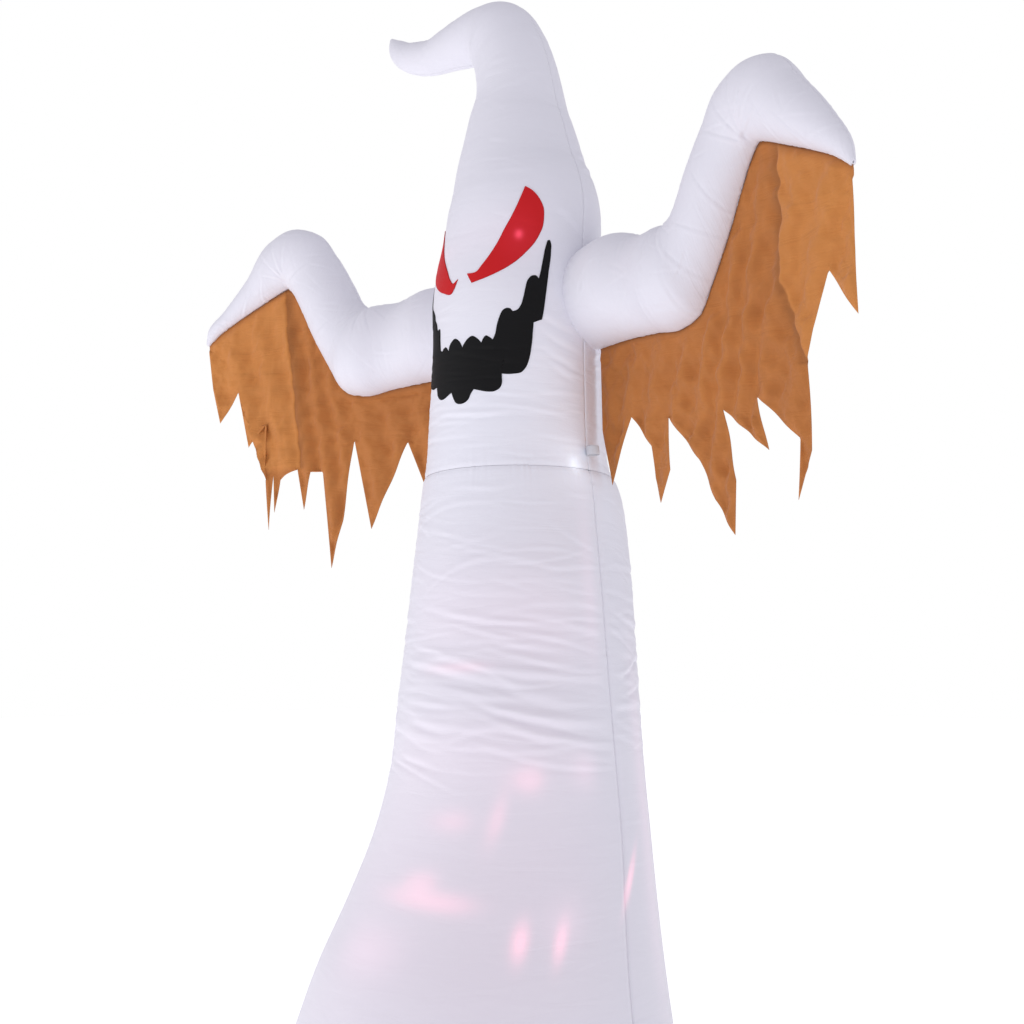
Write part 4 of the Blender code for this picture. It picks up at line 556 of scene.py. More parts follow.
# Arms: each is a front and a back panel of the same cloth, sewn together along the arm's
# upper and lower outline and round the shoulder, and filled by air through the shoulder.
# The sewn corners at the elbow and the wrist draw short creases out of the cloth.
ARM_SLOPE = 0.30
ARM_BACK = 0.0405 * HEIGHT
arm_shares = np.array([
    (0.0200, 0.7530, 0.0200, 0.6690, 0.68),
    (0.0541, 0.7541, 0.0541, 0.6676, 0.88),
    (0.0811, 0.7568, 0.0811, 0.6665, 0.97),
    (0.1054, 0.7568, 0.1081, 0.6659, 0.98),
    (0.1348, 0.7427, 0.1443, 0.6627, 0.82),
    (0.1599, 0.7409, 0.1751, 0.6595, 0.85),
    (0.1693, 0.7400, 0.1927, 0.6654, 0.83),
    (0.1735, 0.7434, 0.2041, 0.6824, 0.82),
    (0.1805, 0.7506, 0.2222, 0.7130, 0.91),
    (0.1908, 0.7705, 0.2357, 0.7405, 0.92),
    (0.2081, 0.7998, 0.2486, 0.7635, 0.81),
    (0.2252, 0.8216, 0.2549, 0.7700, 0.77),
    (0.2471, 0.8301, 0.2575, 0.7696, 0.78),
    (0.2693, 0.8244, 0.2640, 0.7670, 0.78),
    (0.2960, 0.7929, 0.2824, 0.7581, 0.87),
    (0.3212, 0.7627, 0.3080, 0.7450, 0.90),
    (0.3379, 0.7408, 0.3280, 0.7330, 0.93),
    (0.3405, 0.7284, 0.3378, 0.7249, 0.95),
])
arm_lifts = {"left": (-0.0055, -0.0010, 0, 0, 0.0100, 0),
             "right": (-0.0088, -0.0012, 0, -0.0037, -0.0090, 0)}
hand_moves = {"left": -0.004, "right": 0.006}
arm_normal = np.array([-ARM_SLOPE, -1.0, 0.0]) / math.hypot(ARM_SLOPE, 1.0)
arm_rows, arm_run = {}, {}
for side in ("left", "right"):
    rows = arm_shares.copy()
    rows[:, 1] += np.interp(rows[:, 0], (0.10, 0.135, 0.16, 0.25, 0.31, 0.34),
                            arm_lifts[side])
    for edge in (0, 2):
        rows[:, edge] += np.interp(rows[:, edge], (0.25, rows[-1, edge]),
                                   (0, hand_moves[side]))
    arm_rows[side] = rows * np.array([HEIGHT] * 4 + [1])
    ends = arm_rows[side][:, :4]
    arm_run[side] = (lengths(ends[:, :2]) + lengths(ends[:, 2:])) / 2


def arm_place(out, up, lift=0.0):
    """Point beside the left arm's middle plane at a reach, a height and a distance."""
    place = np.stack(np.broadcast_arrays(out, ARM_BACK - ARM_SLOPE * out, up), -1)
    return place + arm_normal * np.asarray(lift)[..., None]


def arm_surface(side, run, turn):
    """Oval section between the arm's two seams: half the depth times cosine along the
    plane, the thickness times sine across it; also gives reach and height in the plane.
    """
    row, _ = through_rows(arm_rows[side], arm_run[side], run)
    cosine, sine = np.cos(np.radians(turn)), np.sin(np.radians(turn))
    out = (row[..., 0] + row[..., 2]) / 2 + (row[..., 0] - row[..., 2]) / 2 * cosine
    up = (row[..., 1] + row[..., 3]) / 2 + (row[..., 1] - row[..., 3]) / 2 * cosine
    half = np.hypot(row[..., 0] - row[..., 2], row[..., 1] - row[..., 3]) / 2
    return arm_place(out, up, half * row[..., 4] * sine), out, up


def leaves_body(side, turn):
    """Length along the arm at which each of its lines comes out of the upper body."""
    runs = np.linspace(0, arm_run[side][-1] * 0.6, 400)[:, None]
    points, _, _ = arm_surface(side, runs, turn[None, :])
    row, _ = through_rows(body_rows, body_run, points[..., 2])
    inside = ((points[..., 0] / row[..., 3])**2 + (points[..., 1] / row[..., 4])**2) < 1
    last = inside.shape[0] - 1 - np.argmax(inside[::-1], axis=0)
    return runs[last, 0]


# creases fan out of the sewn corners: corner's reach and height as shares of HEIGHT,
# then direction, length, width and depth
corner_creases = [
    (0.2530, 0.7740, 18, 0.10, 0.007, 0.0030), (0.2530, 0.7745, 48, 0.15, 0.008, 0.0040),
    (0.2525, 0.7745, 72, 0.18, 0.009, 0.0045), (0.2520, 0.7745, 96, 0.19, 0.009, 0.0045),
    (0.2510, 0.7735, 122, 0.17, 0.008, 0.0040), (0.2490, 0.7710, 150, 0.13, 0.008, 0.0032),
    (0.1690, 0.7380, -38, 0.12, 0.007, 0.0035), (0.1680, 0.7385, -62, 0.16, 0.008, 0.0040),
    (0.1665, 0.7385, -88, 0.17, 0.009, 0.0038), (0.1640, 0.7385, -115, 0.14, 0.008, 0.0035),
    (0.1600, 0.7390, -140, 0.12, 0.007, 0.0028), (0.2290, 0.7300, 118, 0.15, 0.008, 0.0030),
    (0.2210, 0.7130, 150, 0.14, 0.008, 0.0030), (0.2060, 0.6860, 128, 0.14, 0.008, 0.0030),
    (0.1900, 0.6660, 100, 0.13, 0.008, 0.0030), (0.1250, 0.7440, -70, 0.11, 0.007, 0.0026),
    (0.3300, 0.7350, 165, 0.14, 0.007, 0.0022), (0.3050, 0.7490, 125, 0.13, 0.007, 0.0024),
    (0.2820, 0.7600, 110, 0.13, 0.007, 0.0024), (0.2300, 0.8180, -60, 0.13, 0.007, 0.0022),
]


def arm_panel(side, face, start, sign, shift, columns=120, rows=300):
    """Half the way round an arm from the shoulder to the hand's end."""
    turn = np.linspace(start, start + 180.0, columns)
    begin = leaves_body(side, turn) - 0.004
    share = np.linspace(0, 1, rows)[:, None]
    run = begin + (arm_run[side][-1] - begin) * share
    smooth, out, up = arm_surface(side, run, turn)
    normal = outward(smooth)
    along, across = lengths(smooth, 0), lengths(smooth, 1)
    from_upper = across if start == 0 else across[:, -1:] - across
    from_lower = across[:, -1:] - from_upper
    seed = {"left": 50, "right": 60}[side]
    relief = wrinkles(out, up, 120, seed + int(start > 0), (0.2, 1.22), (2.4, 3.0),
                      (0.05, 0.16), (0.5, 0.9), (0.0025, 0.0055), 0.0009)
    for a, b, direction, reach, width, depth in corner_creases:
        angle = math.radians(direction)
        first = np.array([a, b]) * HEIGHT - 0.15 * reach * np.array(
            [math.cos(angle), math.sin(angle)])
        last = first + reach * np.array([math.cos(angle), math.sin(angle)])
        relief += crease(out, up, first, last, 0.5 * width, 0.45 * depth)
    relief *= 1 - np.exp(-(np.minimum(from_upper, from_lower) / 0.010)**2)
    relief *= 1 - np.exp(-((along + 0.002) / 0.012)**2)
    line = run + 0 * across
    relief += seam_puckers(line, from_upper, 0.018, 0.020, 0.0018, seed)
    relief += seam_puckers(line, from_lower, 0.019, 0.020, 0.0018, seed + 3)
    relief += seam_puckers(across, along, 0.022, 0.024, 0.0016, seed + 5)
    relief -= 0.0020 * np.exp(-(from_upper / 0.005)**2)
    relief -= 0.0020 * np.exp(-(from_lower / 0.005)**2)
    relief *= np.clip((1 - share) / 0.04, 0, 1)
    points = smooth + normal * relief[..., None] + arm_normal * shift
    end = np.repeat(points[-1:].mean(axis=1, keepdims=True), columns, 1)
    points = np.concatenate([points, end])
    flat = np.stack([np.concatenate([across, across[-1:]]),
                     np.concatenate([along, along[-1:] + 0.004])], -1)
    facing = np.concatenate([normal, normal[-1:]])
    points, flat, dark = seam_allowance(points, flat, 0 * points, facing,
                                        0.9 * shift * arm_normal)
    points[..., 0] *= sign
    name = f"arm_{side}_{face}"
    made = grid_mesh(f"{name}_cloth", points, white_cloth, flat, dark, flip=sign < 0)
    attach(made, "ghost")
    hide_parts(f"{name}_panel")
    wide, tall = float(across[:, -1].max()), float(along[-1].max())
    min(cloth_area(smooth), wide * tall)


for side, sign in (("left", 1.0), ("right", -1.0)):
    arm_panel(side, "front", 0, sign, SEAM_GAP / 2)
    arm_panel(side, "back", 180, sign, -SEAM_GAP / 2)


# Sleeve rags: crumpled thin tan cloth hung from each arm's lower seam, its lower edge cut
# into long uneven teeth before it is sewn on.  The cloth is limp, so it falls in small
# crisp folds and its teeth twist a little.
FOLD_DEPTH = 0.008
FOLD_PITCH = 0.105
FOLD_START = 0.14
RAG_CLOTH = 0.0012
left_rag = np.array([
    (0.0730, 0.6577), (0.0745, 0.6012), (0.0865, 0.5561), (0.0989, 0.5818),
    (0.1116, 0.6053), (0.1351, 0.5793), (0.1381, 0.5548), (0.1456, 0.5353),
    (0.1565, 0.5583), (0.1540, 0.5980), (0.1881, 0.5610), (0.2040, 0.5304),
    (0.2221, 0.5042), (0.2251, 0.5415), (0.2137, 0.5921), (0.2554, 0.5577),
    (0.2462, 0.5958), (0.2840, 0.5610), (0.2808, 0.5213), (0.2940, 0.5515),
    (0.2926, 0.6069), (0.2994, 0.6283), (0.3135, 0.6639), (0.3364, 0.6296),
    (0.3367, 0.6701), (0.3351, 0.7188),
]) * HEIGHT
right_rag = np.array([
    (0.0730, 0.6577), (0.0870, 0.6215), (0.1084, 0.6145), (0.1130, 0.5712),
    (0.1308, 0.6145), (0.1662, 0.5388), (0.1846, 0.6207), (0.1946, 0.5483),
    (0.2059, 0.5053), (0.2159, 0.5937), (0.2283, 0.5958), (0.2356, 0.5599),
    (0.2432, 0.5977), (0.2608, 0.5918), (0.2662, 0.5588), (0.2689, 0.5945),
    (0.2718, 0.5431), (0.2764, 0.5902), (0.2767, 0.6434), (0.2948, 0.6220),
    (0.3075, 0.6761), (0.3270, 0.6477), (0.3362, 0.6818), (0.3430, 0.7215),
]) * HEIGHT
# the outer layer, lapped over the other towards the hand: the line of its inner edge
# down the cloth, outwards and up, for each side
lap_lines = {
    "left": np.array([(0.2945, 0.606), (0.2768, 0.652), (0.2729, 0.6665), (0.2709, 0.749),
                      (0.2709, 0.765)]) * HEIGHT,
    "right": np.array([(0.240, 0.598), (0.244, 0.640), (0.250, 0.690), (0.258, 0.765),
                       (0.260, 0.780)]) * HEIGHT}
# teeth: outline places down the tooth's left side to its tip, then down its right side
left_teeth = [((0, 1, 2), (4, 3, 2)), ((4, 5, 6, 7), (9, 8, 7)),
              ((9, 10, 11, 12), (14, 13, 12)), ((14, 15), (16, 15)),
              ((16, 17, 18), (22, 21, 20, 19, 18)), ((22, 23), (25, 24, 23))]
right_teeth = [((0, 1), (2, 1)), ((2, 3), (4, 3)), ((4, 5), (6, 5)),
               ((6, 7, 8), (9, 8)), ((9, 10, 11), (12, 11)), ((12, 13, 14), (15, 14)),
               ((15, 16), (17, 16)), ((17, 18, 19), (20, 19)), ((20, 21), (23, 22, 21))]


def thicken(made, thickness):
    """Give a cloth its thickness, half of it to each side."""
    wall = made.modifiers.new("cloth", "SOLIDIFY")
    wall.thickness = thickness
    wall.offset = 0


def fitted(points, count):
    """A count of places along a polyline, at equal lengths."""
    run = lengths(points)
    at = np.linspace(0, run[-1], count)
    return np.stack([np.interp(at, run, line) for line in points.T], -1)


def facets(u, v, count, seed, pitch, depth):
    """Crumpled cloth: many triangle waves of unlike pitch and direction, each let in by
    a slow wave of its own, so that flat facets meet at crisp folds.
    """
    draw = np.random.RandomState(seed)
    total = np.zeros(np.broadcast(u, v).shape)
    for _ in range(count):
        angle, size = draw.uniform(0, math.pi), draw.uniform(*pitch)
        across = (u * math.cos(angle) + v * math.sin(angle)) / size + draw.uniform(0, 2)
        wave = np.abs(np.mod(across, 2) - 1) - 0.5
        other = draw.uniform(0, math.pi)
        where = np.sin((u * math.cos(other) + v * math.sin(other)) / draw.uniform(0.04, 0.12)
                       + draw.uniform(0, 6.28))
        total += depth * size / pitch[1] * wave * np.clip(where, 0, 1)
    return total


def rag_cloth(side, outline, teeth, sign, seed):
    """The ragged cloth: one strip of grid for each tooth, from the seam to its tip."""
    seam_t = np.linspace(0, arm_run[side][-1], 600)
    seam, _ = through_rows(arm_rows[side], arm_run[side], seam_t)
    seam_out, seam_up = seam[:, 2], seam[:, 3] + 0.0030
    start = outline[0, 0]

    def on_seam(out):
        return np.stack([out, np.interp(out, seam_out, seam_up)], -1)

    tops = [outline[0, 0]]
    tops += [outline[right[0], 0] for _, right in teeth[:-1]]
    tops.append(outline[-1, 0])
    columns, band, fall = 330 // len(teeth), 46, 60
    flat_pieces, size = [], 0.0
    for k, (left, right) in enumerate(teeth):
        top = on_seam(np.linspace(tops[k], tops[k + 1], columns))
        sides = []
        for corner, places in ((top[0], left), (top[-1], right)):
            notch = outline[places[0]]
            upper = corner + (notch - corner) * np.linspace(0, 1, band)[:, None]
            lower = fitted(outline[list(places)], fall)
            sides.append(np.concatenate([upper, lower[1:]]))
        c = np.linspace(0, 1, columns)[None, :, None]
        grid = sides[0][:, None] * (1 - c) + sides[1][:, None] * c
        settle = np.clip(1 - np.arange(band + fall - 1) / band, 0, 1)[:, None, None]
        chord = top[:1] * (1 - c[0]) + top[-1:] * c[0]
        flat_pieces.append(grid + settle * (top - chord)[None])
    every, painted_shading_parts = [], []
    for k, grid in enumerate(flat_pieces):
        out, up = grid[..., 0], grid[..., 1]
        size += cloth_area(np.stack([out * math.hypot(1, ARM_SLOPE), up, 0 * up], -1))
        drop = np.interp(out, seam_out, seam_up) - up
        opened = np.clip(drop / FOLD_START, 0, 1)
        clear = np.clip((out - start) / FOLD_PITCH, 0, 1)
        swing = FOLD_DEPTH * opened * clear * np.sin(
            2 * math.pi * (out + 0.25 * drop) / FOLD_PITCH)
        loose = np.clip(drop / 0.03, 0, 1)
        crumple = facets(out, up, 70, seed, (0.012, 0.045), 0.0036)
        wide = np.hypot(*(grid[:, -1] - grid[:, 0]).T)[:, None]
        cut = np.where(np.arange(len(grid))[:, None] < band, 1.0, 1 - np.exp(-(
            np.minimum(c[..., 0], 1 - c[..., 0]) * wide / 0.012)**2))
        swing = swing * (0.4 + 0.6 * cut) + loose * cut * (crumple + facets(
            out, up, 12, seed + 1, (0.06, 0.16), 0.0070))
        beyond = out - np.interp(up, lap_lines[side][:, 1], lap_lines[side][:, 0])
        held = loose * np.clip((up - lap_lines[side][0, 1]) / 0.008, 0, 1)
        swing = swing + held * 0.0060 * np.clip(beyond / 0.006, 0, 1)
        outer = held * np.clip(beyond / 0.004, 0, 1)
        # painted light and shade in the rag's colour: the outer lapped layer lighter than the
        # inner one, the cloth just behind the lap line darker, each facet lighter or darker by
        # its slope, the cloth darker close to the arm's seam, and the inner layer warmer
        painted_light_tone = 0.84 + 0.17 * outer - 0.20 * held * np.exp(
            -((np.minimum(beyond, 0) + 0.004) / 0.020)**2) * (beyond < 0.002)
        painted_light_tone = painted_light_tone + np.clip(34 * np.gradient(crumple, axis=0), -0.06, 0.04)
        painted_light_tone = painted_light_tone * (1 - 0.34 * np.exp(-(np.maximum(drop, 0) / 0.010)**2))
        painted_shading_parts.append((np.clip(painted_light_tone, 0, 1.15)[..., None] * (1 - (1 - outer)[..., None]
                                                           * [0, 0.07, 0.10])).reshape(-1, 3))
        place = arm_place(out, up, swing)
        place[..., 0] *= sign
        every.append((place, np.stack([out, up], -1)))
    points = np.concatenate([a.reshape(-1, 3) for a, _ in every])
    flats = np.concatenate([b.reshape(-1, 2) for _, b in every])
    faces, first = [], 0
    for a, _ in every:
        rows, wide = a.shape[:2]
        n = first + np.arange(rows * wide).reshape(rows, wide)
        faces.append(np.stack([n[:-1, :-1], n[1:, :-1], n[1:, 1:], n[:-1, 1:]], -1)
                     .reshape(-1, 4))
        first += rows * wide
    faces = np.concatenate(faces)
    if sign < 0:
        faces = faces[:, ::-1]
    _, kept, same = np.unique(np.round(points, 6), axis=0, return_index=True,
                              return_inverse=True)
    same = same.ravel()
    faces = same[faces]
    pairs = np.stack([faces, np.roll(faces, -1, axis=1)], -1)
    repeated = pairs[..., 0] == pairs[..., 1]
    listed = [tuple(v for v, twice in zip(f, t) if not twice)
              for f, t in zip(faces.tolist(), repeated.tolist())]
    mesh = bpy.data.meshes.new(f"sleeve_rag_{side}_cloth")
    mesh.from_pydata(points[kept].tolist(), [], [f for f in listed if len(set(f)) > 2])
    corners = np.empty(len(mesh.loops), np.int32)
    mesh.loops.foreach_get("vertex_index", corners)
    cloth_map(mesh, flats[kept][corners])
    # the painted light and shade, kept as a colour attribute
    point_colour(mesh, "painted_shading", np.concatenate(painted_shading_parts)[kept])
    mesh.shade_smooth()
    mesh.materials.append(tan_cloth)
    made = placed(f"sleeve_rag_{side}_cloth", mesh)
    thicken(made, RAG_CLOTH)
    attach(made, "ghost")
    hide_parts(f"sleeve_rag_{side}")
    used = (seam_out > start) & (seam_out < outline[-1, 0])
    sewn = float(np.hypot(np.diff(seam_out[used]) * math.hypot(1, ARM_SLOPE),
                          np.diff(seam_up[used])).sum())
    longest = float(max((np.interp(g[..., 0], seam_out, seam_up) - g[..., 1]).max()
                        for g in flat_pieces))


tan_cloth = polyester("tan sleeve cloth", (0.66, 0.26, 0.062), (0.50, 0.180, 0.042), 0.7,
                      0.10, glows=False, crumple=2.4)
rag_cloth("left", left_rag, left_teeth, 1.0, 71)
rag_cloth("right", right_rag, right_teeth, -1.0, 81)


# Face: two slanted eyes of red cloth and one wide mouth of black cloth with rounded
# lobes, each cut from flat cloth and sewn flat on the white panel, so it follows the
# panel's curve.  The lamps inside light the red, painted into the red cloth as a glow.
FACE_TURN = 4.9
eye_edges = {
    "left": ([(5.5, .7142), (15.3, .7178), (23.6, .7227), (33.6, .7318), (41.1, .7417),
              (47.2, .7515), (50.7, .7606), (51.6, .7698), (50.9, .7768), (47.7, .7824),
              (43.1, .7867), (37.2, .7895)],
             [(0.9, .7227), (4.3, .7227), (7.9, .7234), (11.9, .7297), (19.2, .7445),
              (25.5, .7613), (31.1, .7754), (34.5, .7838), (37.2, .7895)]),
    "right": ([(-8.4, .7128), (-11.1, .7086), (-20.9, .7107), (-30.4, .7156), (-35, .7190),
               (-40, .7235), (-45.5, .7310), (-49.5, .7400), (-52, .7500), (-53, .7600),
               (-52, .7680), (-49, .7690)],
              [(-6.0, .7192), (-10.6, .7163), (-14, .7199), (-18.9, .7276), (-24.3, .7346),
               (-30.9, .7431), (-38, .7535), (-44, .7625), (-49, .7690)])}
# the mouth from its right-hand horn to its left: the lobes of its upper and of its lower
# edge, part by part, each lobe smooth and each meeting the next at a corner
mouth_parts = [
    ([[(-58.3, .7520), (-56.5, .7380), (-53.5, .7200), (-48.3, .7079)]],
     [[(-59.7, .7520), (-60.5, .7431), (-58.5, .7262), (-56, .7044), (-53.8, .6910),
       (-52.6, .6833)]]),
    ([[(-48.3, .7079), (-42.8, .7040), (-36.1, .6995), (-31.8, .6910), (-27, .6805)]],
     [[(-52.6, .6833), (-47.2, .6805)]]),
    ([[(-27, .6805), (-25.1, .6833), (-23.3, .6730), (-22.2, .6650)]],
     [[(-47.2, .6805), (-46.9, .6756), (-46, .6622), (-44.6, .6517), (-42.6, .6446),
       (-38.5, .6385), (-31, .6355)]]),
    ([[(-22.2, .6650), (-19.5, .6636)]], [[(-31, .6355), (-24.9, .6362)]]),
    ([[(-19.5, .6636), (-17.8, .6660), (-16, .6664), (-14.3, .6650), (-12.5, .6622)],
      [(-12.5, .6622), (-10.3, .6692), (-7.1, .6714), (-3.4, .6692), (-1.1, .6657),
       (0, .6629)]],
     [[(-24.9, .6362), (-23.2, .6278), (-19.8, .6249), (-15.1, .6249), (-11, .6271),
       (-8.3, .6285)],
      [(-8.3, .6285), (-7, .6250), (-5.3, .6207), (-2.9, .6186), (0.1, .6179)]]),
    ([[(0, .6629), (1, .6657), (3.4, .6692), (7.1, .6714), (10.7, .6692), (14.1, .6650)]],
     [[(0.1, .6179), (2.9, .6186), (5.4, .6207), (7.6, .6257), (9.3, .6285)]]),
    ([[(14.1, .6650), (15.1, .6685), (16.8, .6706), (19.3, .6692), (21.5, .6671)],
      [(21.5, .6671), (22.9, .6714), (23.9, .6784), (25.4, .6847), (27.8, .6903),
       (30.3, .6917), (32.5, .6910), (33.9, .6889)]],
     [[(9.3, .6285), (13.2, .6271), (17.6, .6257), (23.7, .6257), (26.4, .6278),
       (27.8, .6313), (27.6, .6362), (26.8, .6397)]]),
    ([[(33.9, .6889), (36.8, .6903), (38.8, .6939), (40.3, .7002), (41.5, .7086),
       (42.9, .7163), (45.4, .7206), (48.1, .7213), (50, .7185)]],
     [[(26.8, .6397), (29.5, .6390), (34.4, .6390), (39.8, .6404), (42.7, .6446),
       (44.7, .6517), (46.1, .6622), (46.9, .6756), (47.1, .6805)]]),
    ([[(50, .7185), (51, .7255)]], [[(47.1, .6805), (52.7, .6833)]]),
    ([[(51, .7255), (52.2, .7367), (53.7, .7473), (54.9, .7522)]],
     [[(52.7, .6833), (53.7, .6910), (54.9, .7044), (56.4, .7262), (57.6, .7431),
       (57.3, .7508), (56.4, .7529)]])]


def smooth_edge(places, count):
    """A count of places along a smooth curve through the given ones."""
    places = np.array(places, float) * np.array([math.radians(1) * TORSO, HEIGHT])
    runs = lengths(places)
    value, _ = through_rows(places, runs, np.linspace(0, runs[-1], count))
    return value / np.array([math.radians(1) * TORSO, 1.0])


def through_lobes(lobes, count):
    """A count of places along several lobes, with their corners kept."""
    each = count // len(lobes)
    return np.concatenate([smooth_edge(lobe, each + 1)[:-1] for lobe in lobes])


def face_cloth(name, lower, upper, look, slot, rows):
    """Cloth between two edges, on the panel's own creased surface, its rim turned down."""
    c = np.linspace(0, 1, rows)[:, None, None]
    grid = lower[None] * (1 - c) + upper[None] * c
    turn = FACE_TURN + grid[..., 0]
    run = grid[..., 1]
    smooth = body_surface(run, turn)
    smooth[..., 1] -= SEAM_GAP / 2
    middle = body_surface(run, turn, 0.01) - body_surface(run, turn)
    normal = middle / np.linalg.norm(middle, axis=-1, keepdims=True)
    rim = np.ones(grid.shape[:2]) * 0.0026
    rim[[0, -1]] = rim[:, [0, -1]] = 0.0004
    points = smooth + normal * (upper_relief(run, turn) + rim)[..., None]
    flat = np.stack([np.radians(turn) * TORSO, run], -1)
    # edge marks the rim's points: painted shade darkens them and they get no painted glow
    edge = np.zeros(grid.shape[:2])
    edge[[0, -1]] = edge[:, [0, -1]] = 1.0
    # painted light: a faint even red glow over the eyes, with the lamps' glow spots on it
    lit = np.zeros(3) if slot != "red_cloth" else (
        np.array([0.035, 0.0004, 0.0004]) + lamp_glow(run, turn, TORSO, (0.9, 0.25, 0.35))
    ) * (1 - edge)[..., None]
    made = grid_mesh(name, points, look, flat, lit, (1 - 0.45 * edge)[..., None])
    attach(made, "ghost")
    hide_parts(name.replace("_cloth", ""))
    float(np.ptp(run))


red_cloth = polyester("red polyester", (0.56, 0.011, 0.014), (0.50, 0.009, 0.012), 0.5, 0.0,
                      crumple=0.4, gloss=0.15)
black_cloth = polyester("black polyester", (0.010, 0.010, 0.0105), (0.007, 0.007, 0.0075),
                        0.6, 0.0, crumple=0.5, gloss=0.10)
for side, (lower, upper) in eye_edges.items():
    face_cloth(f"eye_{side}_cloth", smooth_edge(lower, 160), smooth_edge(upper, 160),
               red_cloth, "red_cloth", 40)
mouth_top, mouth_low = (
    np.concatenate([through_lobes(part[k], 48) for part in mouth_parts]
                   + [smooth_edge(mouth_parts[-1][k][-1], 2)[-1:]]) for k in (0, 1))
face_cloth("mouth_cloth", mouth_low, mouth_top, black_cloth, "black_cloth", 60)


# Floor panel: a round of the same thin polyester sewn into the hem.  It lies loose on the
# ground in shallow wrinkles, keeps the air in and carries the moving-light projector.
FLOOR_HALF = 0.530
THIN_CLOTH = 0.0004
HEM_PLACE = body_rows[0, 2]
across, deep = np.meshgrid(np.linspace(-1, 1, 140), np.linspace(-1, 1, 140))
# a square net pressed into a round: each direction shrinks as the other grows
floor_x = FLOOR_HALF * across * np.sqrt(1 - deep**2 / 2)
floor_y = FLOOR_HALF * deep * np.sqrt(1 - across**2 / 2)
floor_rise = wrinkles(floor_x, floor_y, 70, 91, (-0.5, 0.5), (-0.5, 0.5), (0.1, 0.4),
                      (0.8, 0.9), (0.006, 0.014), 0.0014)
floor_grid = np.stack([floor_x, floor_y + HEM_PLACE,
                       np.clip(0.0014 + floor_rise, 0.0004, 0.0026)], -1)
floor_cloth = grid_mesh("floor_cloth", floor_grid, white_cloth, floor_grid[..., :2], 0.0)
thicken(floor_cloth, THIN_CLOTH)
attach(floor_cloth, "ghost")
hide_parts("floor_panel")


# Stake tabs: four short straps of white nylon webbing sewn into the hem, each with a
# stitched eye near its outer end for a ground stake.
HEM_REACH = 0.5345
STAKE_REACH = 0.105
STAKE_STRAP = 0.036
STAKE_EYE = 0.0085
STAKE_CLOTH = 0.002
STAKE_TURNS = (51.43, 128.57, 231.43, -51.43)


def webbing(name, colour, groove_shade_and_soil, pitch):
    """Woven webbing: ribs across the strap crossed by finer threads along it.

    Two wave textures on the strap's own lengths give the height and the grooves, which
    are darkened as painted shade, and a noise the slight soiling.
    """
    made, shader, add = new_look(name)
    place = add("UVMap", {}, uv_map="cloth")
    ribs = {k: add("TexWave", {"Scale": 0.314 / (pitch * share), "Distortion": 0.8,
                               "Detail": 1.0, "Vector": place}, "Fac", wave_type="BANDS",
                   bands_direction=direction)
            for k, (direction, share) in enumerate((("Y", 1.0), ("X", 0.6)))}
    weave = add("Math", ribs, operation="MULTIPLY")
    bump = add("Bump", {"Strength": 0.6, "Distance": 0.3 * pitch, "Height": weave})
    # painted shade: the grooves between the ribs mixed towards the second colour
    shaded_grooves = add("Mix", {"A": (*groove_shade_and_soil, 1), "B": (*colour, 1), "Factor": weave}, "Result",
                  data_type="RGBA")
    soil = add("TexNoise", {"Scale": 60.0, "Detail": 4.0, "Vector": place}, "Fac")
    soiled = add("MapRange", {"From Min": 0.5, "From Max": 0.9, "To Max": 0.5,
                              "Value": soil}, "Result")
    colour_with_painted_shade = add("Mix", {"A": shaded_grooves, "B": (*groove_shade_and_soil, 1), "Factor": soiled}, "Result",
               data_type="RGBA")
    shader({"Base Color": colour_with_painted_shade, "Normal": bump, "Roughness": 0.8, "Sheen Weight": 0.2})
    return made


def ringed_mesh(name, parts, look, ends="caps", flat=None, crisp=35.0):
    """Bodies made of rings of points, each ring joined round and to the next one.

    The ends are closed with flat caps, joined to each other, or left open.  flat holds the
    cloth's two lengths, with one more place round (and along, where the ends are joined)
    than the rings, so that the map doesn't run back over the join.
    """
    parts = parts[None] if parts.ndim == 3 else parts
    bodies, rows, columns = parts.shape[:3]
    row = np.arange(rows if ends == "joined" else rows - 1)[:, None]
    column = np.arange(columns)[None, :]
    corners = [(row, column), (row, column + 1), (row + 1, column + 1), (row + 1, column)]
    index = np.stack([(r % rows) * columns + c % columns for r, c in corners],
                     -1).reshape(-1, 4)
    place = np.stack([r * (columns + 1) + c for r, c in corners], -1).reshape(-1, 4)
    here = parts[0].reshape(-1, 3)[index] - parts[0].reshape(-1, 3).mean(axis=0)
    volume = (here[:, 0] * np.cross(here[:, 1], here[:, 2])).sum() + (
        here[:, 0] * np.cross(here[:, 2], here[:, 3])).sum()
    turned = slice(None, None, 1 if volume > 0 else -1)
    index, place = index[:, turned], place[:, turned]
    faces = (index[None] + rows * columns * np.arange(bodies)[:, None, None])
    caps = []
    if ends == "caps":
        first = np.arange(columns)[::-1][turned]
        last = (rows - 1) * columns + np.arange(columns)[turned]
        caps = [(end + rows * columns * k).tolist() for k in range(bodies)
                for end in (first, last)]
    mesh = bpy.data.meshes.new(name)
    mesh.from_pydata(parts.reshape(-1, 3).tolist(), [], faces.reshape(-1, 4).tolist() + caps)
    if flat is not None:
        spots = flat.reshape(-1, 2)
        maps = [np.tile(spots[place.ravel()], (bodies, 1))]
        if ends == "caps":
            around = flat[:, :columns].reshape(-1, 2)
            maps += [around[[k % (rows * columns) for k in cap]] for cap in caps]
        cloth_map(mesh, np.concatenate(maps))
    mesh.shade_smooth()
    if crisp:
        mesh.set_sharp_from_angle(angle=math.radians(crisp))
    mesh.materials.append(look)
    return placed(name, mesh)


def fixed(made, slot, *solids, body="ghost"):
    """The piece rides on its body and stands for its solids, which are hidden; slot is not used.
    """
    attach(made, body)
    if solids:
        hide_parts(*solids)
    return made


